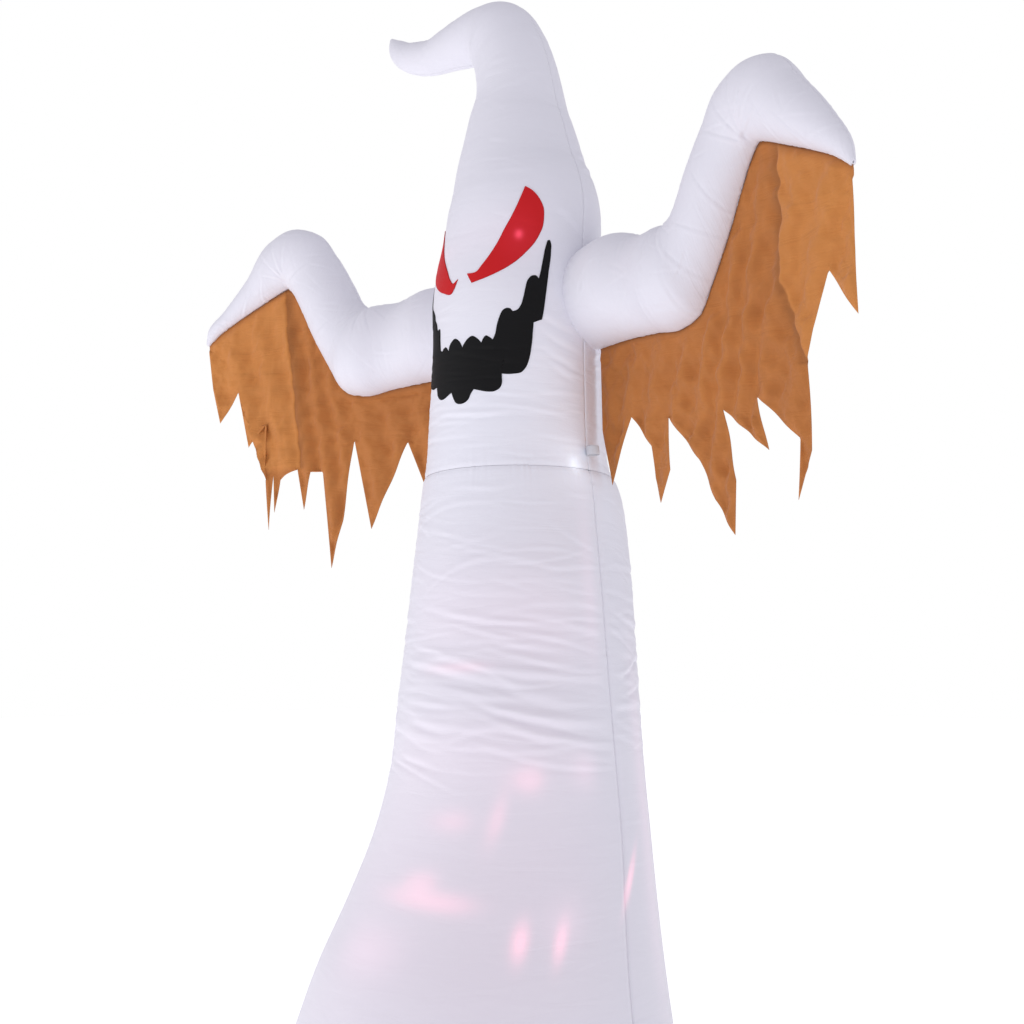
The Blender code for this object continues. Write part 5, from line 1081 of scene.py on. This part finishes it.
# the second colour gives the grooves' painted shade and the soiling
white_webbing = webbing("white webbing", (0.80, 0.80, 0.84), (0.62, 0.62, 0.66), 0.0018)
eye_out = (STAKE_REACH - STAKE_STRAP) / 2
corner = [math.atan2(y, x) for y in (-STAKE_STRAP / 2, STAKE_STRAP / 2)
          for x in (-STAKE_REACH / 2 - eye_out, STAKE_REACH / 2 - eye_out)]
turn = np.sort(np.concatenate([np.linspace(-math.pi, math.pi, 72, endpoint=False), corner]))
# from the eye's rim each line runs straight out to the strap's edge
reach = np.minimum((STAKE_REACH / 2 - eye_out * np.sign(np.cos(turn)))
                   / np.maximum(np.abs(np.cos(turn)), 1e-9),
                   STAKE_STRAP / 2 / np.maximum(np.abs(np.sin(turn)), 1e-9))
step = np.concatenate([[0, 0.0008, 0.0018, 0.0028, 0.0038], np.linspace(0.005, 1, 12)])
out = np.where(step < 0.005, step, 0)[None] + np.where(
    step >= 0.005, 0.0045 + (reach[:, None] - STAKE_EYE - 0.0045) * step, 0)
stitched = 0.0007 * np.exp(-((out - 0.0018) / 0.0012)**2)
top = np.concatenate([out, out[:, ::-1]], 1)
rise = np.concatenate([STAKE_CLOTH + stitched, 0 * out], 1)
rise[:, 0] = rise[:, out.shape[1] - 1] = rise[:, out.shape[1]] = rise[:, -1] = 0.0010
radial = STAKE_EYE + top
tab_x = eye_out + radial * np.cos(turn)[:, None]
tab_y = radial * np.sin(turn)[:, None]
tab_flat = np.stack([tab_y, tab_x], -1)
tab_flat = np.concatenate([tab_flat, tab_flat[:1]])
tab_flat = np.concatenate([tab_flat, tab_flat[:, :1]], 1)
tabs = []
middle = HEM_REACH + STAKE_REACH / 2
for degrees in STAKE_TURNS:
    angle = math.radians(degrees)
    tabs.append(np.stack([(middle + tab_x) * math.cos(angle) - tab_y * math.sin(angle),
                          (middle + tab_x) * math.sin(angle) + tab_y * math.cos(angle)
                          + HEM_PLACE, rise + 0 * tab_x], -1))
fixed(ringed_mesh("stake_tabs_webbing", np.array(tabs), white_webbing, ends="joined",
                  flat=tab_flat), "webbing", *[f"stake_tab_{k}" for k in (1, 2, 3, 4)])


# Tether loops: a short loop of the same webbing caught in each side seam just above the
# waist, for a guy rope; the seam pinches its two ends together.
LOOP_RADIUS = 0.019
LOOP_STRAP = 0.025
LOOP_RISE = WAIST + 0.014 * HEIGHT


def full_turn(count):
    """Angles of a count of places evenly round a circle."""
    return np.linspace(0, 2 * math.pi, count, endpoint=False)


def strap(path, across, wide, thick, closed=False):
    """A flat strap along a path, and its two lengths for the weave.

    Each ring is a rounded oblong: half the width along the across direction and half the
    thickness square to that and to the path.
    """
    along = (np.roll(path, -1, 0) - np.roll(path, 1, 0)) if closed else np.gradient(
        path, axis=0)
    across = np.broadcast_to(across, path.shape)
    face = np.cross(along, across)
    face = face / np.linalg.norm(face, axis=-1, keepdims=True)
    w, t = wide / 2, thick / 2
    half = [(-w, 0), (-w + 0.3 * t, 0.7 * t), (-w + t, t), (0, t), (w - t, t),
            (w - 0.3 * t, 0.7 * t)]
    section = np.array(half + [(-a, -b) for a, b in half])
    rings = path[:, None] + across[:, None] * section[None, :, :1] + face[
        :, None] * section[None, :, 1:]
    loop = np.concatenate([path, path[:1]]) if closed else path
    side = lengths(np.concatenate([section, section[:1]]))
    return rings, np.stack(np.broadcast_arrays(side[None, :], lengths(loop)[:, None]), -1)


for side, sign in (("left", 1.0), ("right", -1.0)):
    root = body_surface(LOOP_RISE, 90.0 * sign)
    upward = body_surface(LOOP_RISE + 0.004, 90.0 * sign) - root
    upward = upward / np.linalg.norm(upward)
    outwards = np.cross(upward, (0, -sign, 0))
    outwards = outwards * np.sign(outwards[0] * sign)
    turn = full_turn(48)[:, None]
    pinch = 1 - 0.55 * np.exp(-((turn - math.pi) / 1.0)**2)
    path = root + outwards * (LOOP_RADIUS + 0.0008 + LOOP_RADIUS * np.cos(turn)) + np.array(
        [0, 1.0, 0]) * LOOP_RADIUS * pinch * np.sin(turn)
    rings, flat = strap(path, upward, LOOP_STRAP, 0.0018, closed=True)
    fixed(ringed_mesh(f"tether_loop_{side}_webbing", rings, white_webbing, ends="joined",
                      flat=flat), "webbing", f"tether_loop_{side}")


# Blower: a black moulded drum in two halves, screwed together, standing on two saddle
# feet.  Its motor drives a seven-bladed impeller behind a slotted guard.
BLOWER_HEIGHT = 0.138
DRUM_END = 0.5837
HUB_PLACE = 0.4909
SCREW_RING = 0.0905
GLAND_PLACE = 0.5727
DRUM_SPLIT = 0.4889


def plain_finish(name, colour, paler, roughness, grain, depth, **sockets):
    """Moulded, plated or printed surface: fine grain, with broad paler rubbed places.

    Two noises on the piece's own place: the fine one is the grain's height, the broad one
    mixes the colour and moves the roughness a little.
    """
    made, shader, add = new_look(name)
    place = add("TexCoord", {}, "Object")
    fine = add("TexNoise", {"Scale": grain, "Detail": 2.0, "Vector": place}, "Fac")
    broad = add("TexNoise", {"Scale": 22.0, "Detail": 6.0, "Vector": place}, "Fac")
    bump = add("Bump", {"Strength": 0.35, "Distance": depth, "Height": fine})
    rubbed = add("MapRange", {"From Min": 0.45, "From Max": 0.75, "Value": broad}, "Result")
    shade = add("Mix", {"A": (*colour, 1), "B": (*paler, 1), "Factor": rubbed}, "Result",
                data_type="RGBA")
    rough = add("MapRange", {"To Min": roughness - 0.07, "To Max": roughness + 0.07,
                             "Value": broad}, "Result")
    shader({"Base Color": shade, "Normal": bump, "Roughness": rough})
    shader({socket.replace("_", " "): value for socket, value in sockets.items()})
    return made


def give_finish(look, *names):
    """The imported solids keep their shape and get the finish."""
    for name in names:
        for held in nodes[name].material_slots:
            held.material = look


def turned_rings(profile, turns, centre):
    """Rings round an axis along Y: radius times cosine and sine at each profile place."""
    radius, along = profile[..., 0], profile[..., 1]
    if radius.ndim == 1:
        radius, along = radius[:, None] + 0 * turns, along[:, None] + 0 * turns
    return np.stack([centre[0] + radius * np.cos(turns), along,
                     centre[1] + radius * np.sin(turns)], -1)


def hexagon(turns):
    """Radius of a hexagon against that of the circle through its corners."""
    return math.cos(math.pi / 6) / np.cos(np.mod(turns, math.pi / 3) - math.pi / 6)


black_plastic = plain_finish("black moulded plastic", (0.016, 0.016, 0.017),
                             (0.035, 0.035, 0.037), 0.42, 1400.0, 0.0003)
grey_plastic = plain_finish("grey moulded plastic", (0.20, 0.20, 0.21),
                            (0.27, 0.27, 0.28), 0.48, 1200.0, 0.0003)
nickel = plain_finish("nickel plate", (0.60, 0.59, 0.57), (0.70, 0.69, 0.67), 0.28, 2600.0,
                      0.0001, Metallic=1.0)
give_finish(black_plastic, "blower_outlet_housing", "blower_foot_inner",
            "blower_foot_outer", "light_jack", "light_plug")
give_finish(grey_plastic, "blower_motor")

# intake half: its outside is fluted between the feet and its edge is rounded
fine_turn = full_turn(216)
drum_profile = np.array(
    [(0.078, 0.5809), (0.078, 0.5832), (0.0785, 0.5837), (0.0830, 0.5837), (0.0834, 0.5831),
     (0.0846, 0.5831), (0.0850, 0.5837), (0.1030, 0.5837), (0.1043, 0.5833),
     (0.1050, 0.5822), (0.1050, 0.5545), (0.1041, 0.5537), (0.1041, 0.5520),
     (0.1050, 0.5512), (0.1050, 0.5490)] + [(0.1050, y) for y in np.linspace(
         0.5480, 0.5160, 12)] + [(0.1050, 0.5150), (0.1050, 0.5100), (0.1041, 0.5093),
                                 (0.1041, 0.5076), (0.1050, 0.5068), (0.1050, DRUM_SPLIT),
                                 (0.1020, DRUM_SPLIT), (0.1020, 0.5809)])
flute = np.clip(np.minimum(drum_profile[:, 1] - 0.5150, 0.5490 - drum_profile[:, 1])
                / 0.003, 0, 1) * (drum_profile[:, 0] > 0.1045)
fluted = drum_profile[:, 0][:, None] - 0.0016 * flute[:, None] * np.clip(
    1.6 * np.cos(36 * fine_turn) + 0.2, 0, 1)
drum = turned_rings(np.stack([fluted, drum_profile[:, 1][:, None] + 0 * fluted], -1),
                    fine_turn, (0, BLOWER_HEIGHT))
fixed(ringed_mesh("blower_intake_drum", drum, black_plastic, ends="joined"),
      "black_plastic", "blower_intake_housing")

# guard: a round rim with level bars across it
rim_profile = np.array([(0.0722, 0.5812), (0.0722, 0.5828), (0.0728, 0.5836),
                        (0.0745, 0.5838), (0.0768, 0.5836), (0.0777, 0.5830),
                        (0.0777, 0.5809), (0.0724, 0.5809)])
rim = turned_rings(rim_profile, full_turn(120), (0, BLOWER_HEIGHT))
fixed(ringed_mesh("blower_guard_rim", rim, black_plastic, ends="joined"), "black_plastic",
      "blower_grille")
bar_rise = 0.0125 * (np.arange(-6, 6) + 0.5)
bar_half = np.sqrt(0.0735**2 - bar_rise**2)
around = np.radians(np.arange(0, 360, 36.0))
share = np.linspace(-1, 1, 9)
bars = np.stack(np.broadcast_arrays(
    bar_half[:, None, None] * share[None, :, None],
    DRUM_END - 0.0013 + 0.0013 * np.sin(around)[None, None],
    BLOWER_HEIGHT + bar_rise[:, None, None] + 0.0031 * np.cos(around)[None, None]), -1)
fixed(ringed_mesh("blower_guard_bars", bars, black_plastic, crisp=0), "black_plastic")

# impeller: a hub with seven blades, twisted from root to tip and thickest near the front
reach = np.linspace(0.018, 0.0935, 14)
pitch = np.radians(np.interp(reach, (0.018, 0.094), (46, 33)))[:, None]
chord = np.interp(reach, (0.018, 0.05, 0.094), (0.031, 0.036, 0.038))[:, None]
lap = full_turn(18)[None]
along = 0.5 * chord * np.cos(lap)
thick = 0.0017 * np.sin(lap) * (1 - 0.35 * np.cos(lap)) + 0.0022 * (np.sin(lap / 2)**2 - 0.5)
tangent = along * np.cos(pitch) - thick * np.sin(pitch)
axial = along * np.sin(pitch) + thick * np.cos(pitch)
blades = []
for spin in full_turn(7):
    blades.append(np.stack([reach[:, None] * math.cos(spin) - tangent * math.sin(spin),
                            HUB_PLACE + np.clip(axial, -0.0129, 0.0129),
                            BLOWER_HEIGHT - reach[:, None] * math.sin(spin)
                            - tangent * math.cos(spin)], -1))
fixed(ringed_mesh("impeller_blades", np.array(blades), black_plastic, crisp=60),
      "black_plastic", "blower_impeller", body="impeller")
hub_profile = np.array([(0.0034, 0.4785), (0.0185, 0.4780), (0.0215, 0.4788),
                        (0.0220, 0.4810), (0.0220, 0.4985), (0.0206, 0.5022),
                        (0.0165, 0.5038), (0.0100, 0.5039), (0.0080, 0.5030),
                        (0.0034, 0.5030)])
hub = turned_rings(hub_profile, full_turn(64), (0, BLOWER_HEIGHT))
fixed(ringed_mesh("impeller_hub", hub, black_plastic, ends="joined"), "black_plastic",
      body="impeller")

# screws: domed heads with a six-sided socket, set in the intake face
around = full_turn(36)
head = np.array([(0.0035, 0), (0.0035, 0.0011), (0.0032, 0.0020), (0.0025, 0.0027),
                 (0.0019, 0.0029), (0.0017, 0.0029), (0.0016, 0.0013), (0.0002, 0.0012)])
six = np.where(head[:, 0] < 0.00185, 1, 0)[:, None]
head_radius = head[:, :1] * (1 - six + six * hexagon(around)[None])
screws = []
for k in range(4):
    angle = math.radians(45.0 + 90.0 * k)
    ring = np.stack([head_radius, DRUM_END + 0.0003 + head[:, 1:] + 0 * head_radius], -1)
    screws.append(turned_rings(ring, around, (
        SCREW_RING * math.cos(angle), BLOWER_HEIGHT + SCREW_RING * math.sin(angle))))
fixed(ringed_mesh("blower_screw_heads", np.array(screws), nickel), "nickel",
      *[f"blower_screw_{k}" for k in (1, 2, 3, 4)])

# mains gland: a collar, a six-sided nut and a tapered nose with the cable's hole
gland = np.array([(0.0041, 0.1053), (0.0080, 0.1053), (0.0080, 0.1118), (0.0072, 0.1124),
                  (0.0072, 0.1134), (0.0081, 0.1140), (0.0081, 0.1206), (0.0070, 0.1216),
                  (0.0064, 0.1255), (0.0055, 0.1272), (0.0042, 0.1273)])
six = np.where((gland[:, 1] > 0.1137) & (gland[:, 1] < 0.1210), 1, 0)[:, None]
radius = gland[:, :1] * (1 - six + six * hexagon(around)[None])
nut = np.stack([gland[:, 1:] + 0 * radius, GLAND_PLACE + radius * np.cos(around),
                BLOWER_HEIGHT + radius * np.sin(around)], -1)
fixed(ringed_mesh("mains_gland_nut", nut, black_plastic, ends="joined"), "black_plastic",
      "mains_cable_gland")


# Collar: a short sleeve of the white polyester sewn round a hole in the skirt's back and
# drawn tight on the drum by a cord in its hem, which bunches the cloth into small pleats.
COLLAR_RADIUS = 0.1063
STRING_PLACE = 0.4632
STRING_RING = 0.1108
STRING_RADIUS = 0.0025
turn = np.linspace(0, 2 * math.pi, 433)
along = np.linspace(0.4007, 0.4707, 44)[:, None]
pleats = 0.5 + 0.5 * np.cos(44 * turn + 2.0 * np.sin(3 * turn) + 1.3 * np.sin(7 * turn))
drawn = np.exp(-((along - STRING_PLACE) / 0.006)**2)
under_lock = np.exp(-((np.mod(turn - math.pi / 2 + math.pi, 2 * math.pi) - math.pi)
                      * 0.107 / 0.012)**4) * np.exp(-((along - STRING_PLACE) / 0.013)**4)
collar_radius = 0.1059 + (0.0004 + 0.0034 * pleats * (0.35 + 0.65 * (
    along - 0.43).clip(0) / 0.04) * (1 - drawn)) * (1 - under_lock) + 0.0006 * drawn * (
    1 - under_lock)
collar_grid = np.stack([collar_radius * np.cos(turn), along + 0 * turn,
                        BLOWER_HEIGHT + collar_radius * np.sin(turn)], -1)
collar_flat = np.stack([turn * COLLAR_RADIUS + 0 * along, along + 0 * turn], -1)
collar_cloth = white_cloth.copy()
collar_cloth.name = "white polyester sleeve"
for node in collar_cloth.node_tree.nodes:
    if node.type == "TEX_NOISE" and node.inputs["Detail"].default_value == 5.0:
        node.inputs["Scale"].default_value = 3.0
collar = ringed_mesh("blower_collar_cloth", collar_grid[:, :-1], collar_cloth, ends="open",
                     flat=collar_flat, crisp=0)
point_colour(collar.data, "painted_shading", 1.0)
point_colour(collar.data, "glow", 0.0)
thicken(collar, THIN_CLOTH)
fixed(collar, "white_cloth", "blower_collar")

# the drawn cord in the hem, a round braid
turn = full_turn(480)[:, None]
lap = full_turn(12)[None]
braid = STRING_RADIUS * (1 + 0.07 * np.cos(180 * turn + 2 * lap) * np.cos(
    180 * turn - 2 * lap))
string = np.stack([(STRING_RING + braid * np.cos(lap)) * np.cos(turn),
                   STRING_PLACE + braid * np.sin(lap) + 0 * turn,
                   BLOWER_HEIGHT + (STRING_RING + braid * np.cos(lap)) * np.sin(turn)], -1)
string_flat = np.stack(np.broadcast_arrays(
    STRING_RADIUS * np.linspace(0, 2 * math.pi, 13)[None],
    STRING_RING * np.linspace(0, 2 * math.pi, 481)[:, None]), -1)
# the second colour gives the grooves' painted shade and the soiling
white_cord = webbing("white braided cord", (0.80, 0.80, 0.84), (0.60, 0.60, 0.64), 0.0011)
fixed(ringed_mesh("collar_drawstring_cord", string, white_cord, ends="joined",
                  flat=string_flat, crisp=0), "cord_white", "collar_drawstring")

# cord lock: a black barrel with a grey push button over a wire spring
give_finish(black_plastic, "cord_lock_body")
give_finish(grey_plastic, "cord_lock_plunger")
COILS, COIL_RADIUS, COIL_LOW, COIL_HIGH = 4.5, 0.0046, 0.2535, 0.2578
turns = np.linspace(0, 2 * math.pi * COILS, 150)[:, None]
lap = full_turn(8)[None]
WIRE = 0.00045
wound = COIL_LOW + (COIL_HIGH - COIL_LOW) * turns / turns[-1]
spring = np.stack([(COIL_RADIUS + WIRE * np.cos(lap)) * np.cos(turns),
                   STRING_PLACE + (COIL_RADIUS + WIRE * np.cos(lap)) * np.sin(turns),
                   wound + WIRE * np.sin(lap)], -1)
spring_wire = fixed(ringed_mesh("cord_lock_spring_wire", spring, nickel, crisp=0), "nickel",
                    "cord_lock_spring")
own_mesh(spring_wire)


# Deflation zip: a plastic zip sewn down the middle of the back, opened to let the air out.
# Two woven tapes carry the teeth; a nickel slider with a swinging pull closes them.
ZIP_LOW = 0.900
ZIP_LENGTH = 0.400
TAPE_PLACE, CORE_PLACE, TEETH_PLACE = 0.3708, 0.3726, 0.3748
TEETH, TOOTH_PITCH = 159, 0.0025
for side, sign in (("left", 1.0), ("right", -1.0)):
    path = np.stack([np.full(60, sign * 0.0078), np.full(60, TAPE_PLACE),
                     np.linspace(ZIP_LOW, ZIP_LOW + ZIP_LENGTH, 60)], -1)
    rings, flat = strap(path, (1.0, 0, 0), 0.0150, 0.0010)
    fixed(ringed_mesh(f"zip_tape_{side}_weave", rings, white_webbing, flat=flat), "webbing",
          f"zip_tape_{side}")
tooth_z = ZIP_LOW + 0.002 + TOOTH_PITCH * np.arange(TEETH)
tooth_x = np.where(np.arange(TEETH) % 2, 0.0008, -0.0008)
stop_z = np.array([ZIP_LOW - 0.0017, ZIP_LOW + ZIP_LENGTH + 0.0017])
around = np.radians(np.arange(22.5, 360, 45.0))
square = np.clip(1.35 * np.cos(around), -1, 1), np.clip(1.35 * np.sin(around), -1, 1)
layer = np.array([(-1.0, 0.82), (-0.6, 1.0), (0.6, 1.0), (1.0, 0.82)])


def blocks(x, z, wide, deep, tall):
    """Small rounded blocks: an eight-sided section, drawn in a little at both ends."""
    x, z, wide, tall = (np.broadcast_to(a, x.shape)[:, None, None] for a in (x, z, wide, tall))
    size = layer[None, :, 1:]
    return np.stack(np.broadcast_arrays(x + wide * square[0] * size,
                                        TEETH_PLACE + deep * square[1] * size,
                                        z + tall * layer[None, :, :1]), -1)


teeth = blocks(tooth_x, tooth_z, 0.0016, 0.0011, 0.0010)
stops = blocks(np.zeros(2), stop_z, 0.0038, 0.0012, 0.0019)
fixed(ringed_mesh("zip_teeth_row", np.concatenate([teeth, stops]), grey_plastic, crisp=50),
      "grey_plastic", "zip_teeth")
path = np.stack([np.zeros(12), np.full(12, CORE_PLACE), np.linspace(*stop_z, 12)], -1)
rings, flat = strap(path, (1.0, 0, 0), 0.0015, 0.0020)
fixed(ringed_mesh("zip_teeth_core", rings, white_webbing, flat=flat), "webbing")
give_finish(nickel, "zip_slider", "zip_pull")


# Moving-light projector: a black cup standing on a felt pad inside the ghost, with lamps
# on a board and a clear patterned globe that a small motor turns above them.
PROJECTOR_PLACE = -0.150
clear_plastic = plain_finish("clear lamp plastic", (0.86, 0.80, 0.86), (0.92, 0.88, 0.92),
                             0.14, 700.0, 0.0004, Transmission_Weight=0.75, IOR=1.49)
lamp_board = plain_finish("lamp board", (0.66, 0.68, 0.62), (0.78, 0.79, 0.74), 0.40, 500.0,
                          0.0002)
felt = plain_finish("black felt", (0.014, 0.014, 0.015), (0.030, 0.030, 0.032), 0.90,
                    2200.0, 0.0010, Sheen_Weight=0.4)
pad_profile = np.array([(0.0010, 0.0033), (0.0495, 0.0033), (0.0500, 0.0040),
                        (0.0500, 0.0056), (0.0490, 0.0063), (0.0010, 0.0063)])
turn = full_turn(96)
radius = pad_profile[:, :1] * (1 + 0.006 * np.sin(17 * turn) * (pad_profile[:, :1] > 0.04))
pad = np.stack([radius * np.cos(turn), PROJECTOR_PLACE + radius * np.sin(turn),
                pad_profile[:, 1:] + 0 * radius], -1)
fixed(ringed_mesh("projector_felt_pad", pad, felt), "black_cloth", "projector_pad")
give_finish(black_plastic, "projector_housing")
give_finish(grey_plastic, "projector_motor")
give_finish(lamp_board, "projector_lamp_board")
give_finish(clear_plastic, "projector_dome")


# Light string: a thin white twisted pair from the blower's jack up the back and round to
# the face, held by three folded tabs, with a lamp in its holder at the waist and each eye.
CORD_RADIUS = 0.0025
CORD_INSET = 0.0165
CORD_TWIST = 0.022
TAB_DEGREES = 141.4286
cord_places = [
    (TAB_DEGREES, 0.072, 2.0), (TAB_DEGREES, 0.15, 1.1), (TAB_DEGREES, 0.30, 1.0),
    (TAB_DEGREES, 0.44, 1.0), (138.0, 0.51, 1.8), (118.0, 0.548, 4.0), (92.0, 0.564, 3.4),
    (78.0, 0.5725, 1.2), (73.0, 0.590, 1.4), (70.0, 0.66, 1.2), (60.0, 0.72, 1.2),
    (42.5, 0.7540, 1.0), (22.0, 0.764, 1.2), (0.0, 0.766, 1.2), (-25.0, 0.757, 1.2),
    (-43.0, 0.7450, 1.0), (-50.5, 0.7405, 1.1)]
cord_way = np.array([(0, 0.3608, BLOWER_HEIGHT), (0, 0.3408, BLOWER_HEIGHT),
                     (0.040, 0.3208, BLOWER_HEIGHT + 0.040)] + [
    body_surface(share * HEIGHT, degrees, -depth * CORD_INSET).tolist()
    for degrees, share, depth in cord_places])


def smooth_way(points, each, count):
    """Even places on a smooth curve through the given ones.

    Between two places the curve is a blend of blends of the four nearest, with knots that
    grow by the square root of the distance, so it never loops back.
    """
    ends = np.concatenate([[2 * points[0] - points[1]], points,
                           [2 * points[-1] - points[-2]]])
    knot = np.concatenate([[0], np.cumsum(np.sqrt(np.linalg.norm(np.diff(
        ends, axis=0), axis=1)))])
    p = [ends[k:len(ends) - 3 + k, None] for k in range(4)]
    t = [knot[k:len(ends) - 3 + k, None, None] for k in range(4)]
    at = t[1] + (t[2] - t[1]) * (np.arange(each) / each)[None, :, None]

    def blend(a, b, low, high):
        return a * (high - at) / (high - low) + b * (at - low) / (high - low)

    a, b, c = (blend(p[k], p[k + 1], t[k], t[k + 1]) for k in range(3))
    curve = blend(blend(a, b, t[0], t[2]), blend(b, c, t[1], t[3]), t[1], t[2])
    line = np.concatenate([curve.reshape(-1, 3), points[-1:]])
    return fitted(line, count)


cord_line = smooth_way(cord_way[1:], 24, 1600)
cord_line = np.concatenate([np.linspace(cord_way[0], cord_way[1], 10)[:-1], cord_line])
cord_run = lengths(cord_line)
along = np.gradient(cord_line, axis=0)
along = along / np.linalg.norm(along, axis=1, keepdims=True)
aside = np.cross(along, (0.31, 0.17, 0.93))
aside = aside / np.linalg.norm(aside, axis=1, keepdims=True)
third = np.cross(along, aside)
lap = full_turn(10)[None]
# two round wires side by side, twisted
wind = lap - (2 * math.pi * cord_run / CORD_TWIST)[:, None]
two_wires = CORD_RADIUS * np.maximum(np.abs(np.cos(wind)), 0.55)[..., None]
twisted = cord_line[:, None] + two_wires * (aside[:, None] * np.cos(lap)[..., None]
                                            + third[:, None] * np.sin(lap)[..., None])
cord_flat = np.stack(np.broadcast_arrays(
    CORD_RADIUS * np.linspace(0, 2 * math.pi, 11)[None], cord_run[:, None]), -1)
cord_sheath = plain_finish("white cord sheath", (0.72, 0.72, 0.74), (0.80, 0.80, 0.82),
                           0.40, 900.0, 0.0002)
fixed(ringed_mesh("light_cord_pair", twisted, cord_sheath, flat=cord_flat, crisp=0),
      "cord_white", "light_cord")

# tabs: short straps folded round the cord and sewn to the back panel's inner side
TAB_TURN = math.radians(141.43)
TAB_REACH, TAB_HALF, TAB_WIDE, TAB_THICK = 0.0080, 0.0008, 0.012, 0.0012
FOLD_RADIUS = 0.0040
tab_out = np.array([math.sin(TAB_TURN), -math.cos(TAB_TURN), 0])
tab_aside = np.array([math.cos(TAB_TURN), math.sin(TAB_TURN), 0])
for k in (1, 2, 3):
    low_corner, high_corner = (np.array(c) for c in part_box(f"cord_tab_{k}"))
    middle = (low_corner + high_corner) / 2
    near = cord_line[np.argmin(np.abs(cord_line[:, 2] - middle[2])
                               + 10 * (cord_line[:, 1] < 0.15))]
    depth = float((near - middle) @ tab_out)
    bend = np.radians(np.linspace(80, 280, 21))[:, None]
    fold = near + FOLD_RADIUS * (np.cos(bend) * tab_out + np.sin(bend) * tab_aside)
    sewn = near + tab_out * (TAB_REACH - depth)
    share = np.linspace(0.1, 1, 8)[:, None]
    first_leg = fold[:1] + (sewn + TAB_HALF * tab_aside - fold[:1]) * share[::-1]
    last_leg = fold[-1:] + (sewn - TAB_HALF * tab_aside - fold[-1:]) * share
    rings, flat = strap(np.concatenate([first_leg, fold, last_leg]), (0, 0, 1.0), TAB_WIDE,
                        TAB_THICK)
    fixed(ringed_mesh(f"cord_tab_{k}_strap", rings, white_webbing, flat=flat), "webbing",
          f"cord_tab_{k}")
for place in ("waist", "left_eye", "right_eye"):
    give_finish(black_plastic, f"lamp_socket_{place}")
    give_finish(clear_plastic, f"lamp_bulb_{place}")
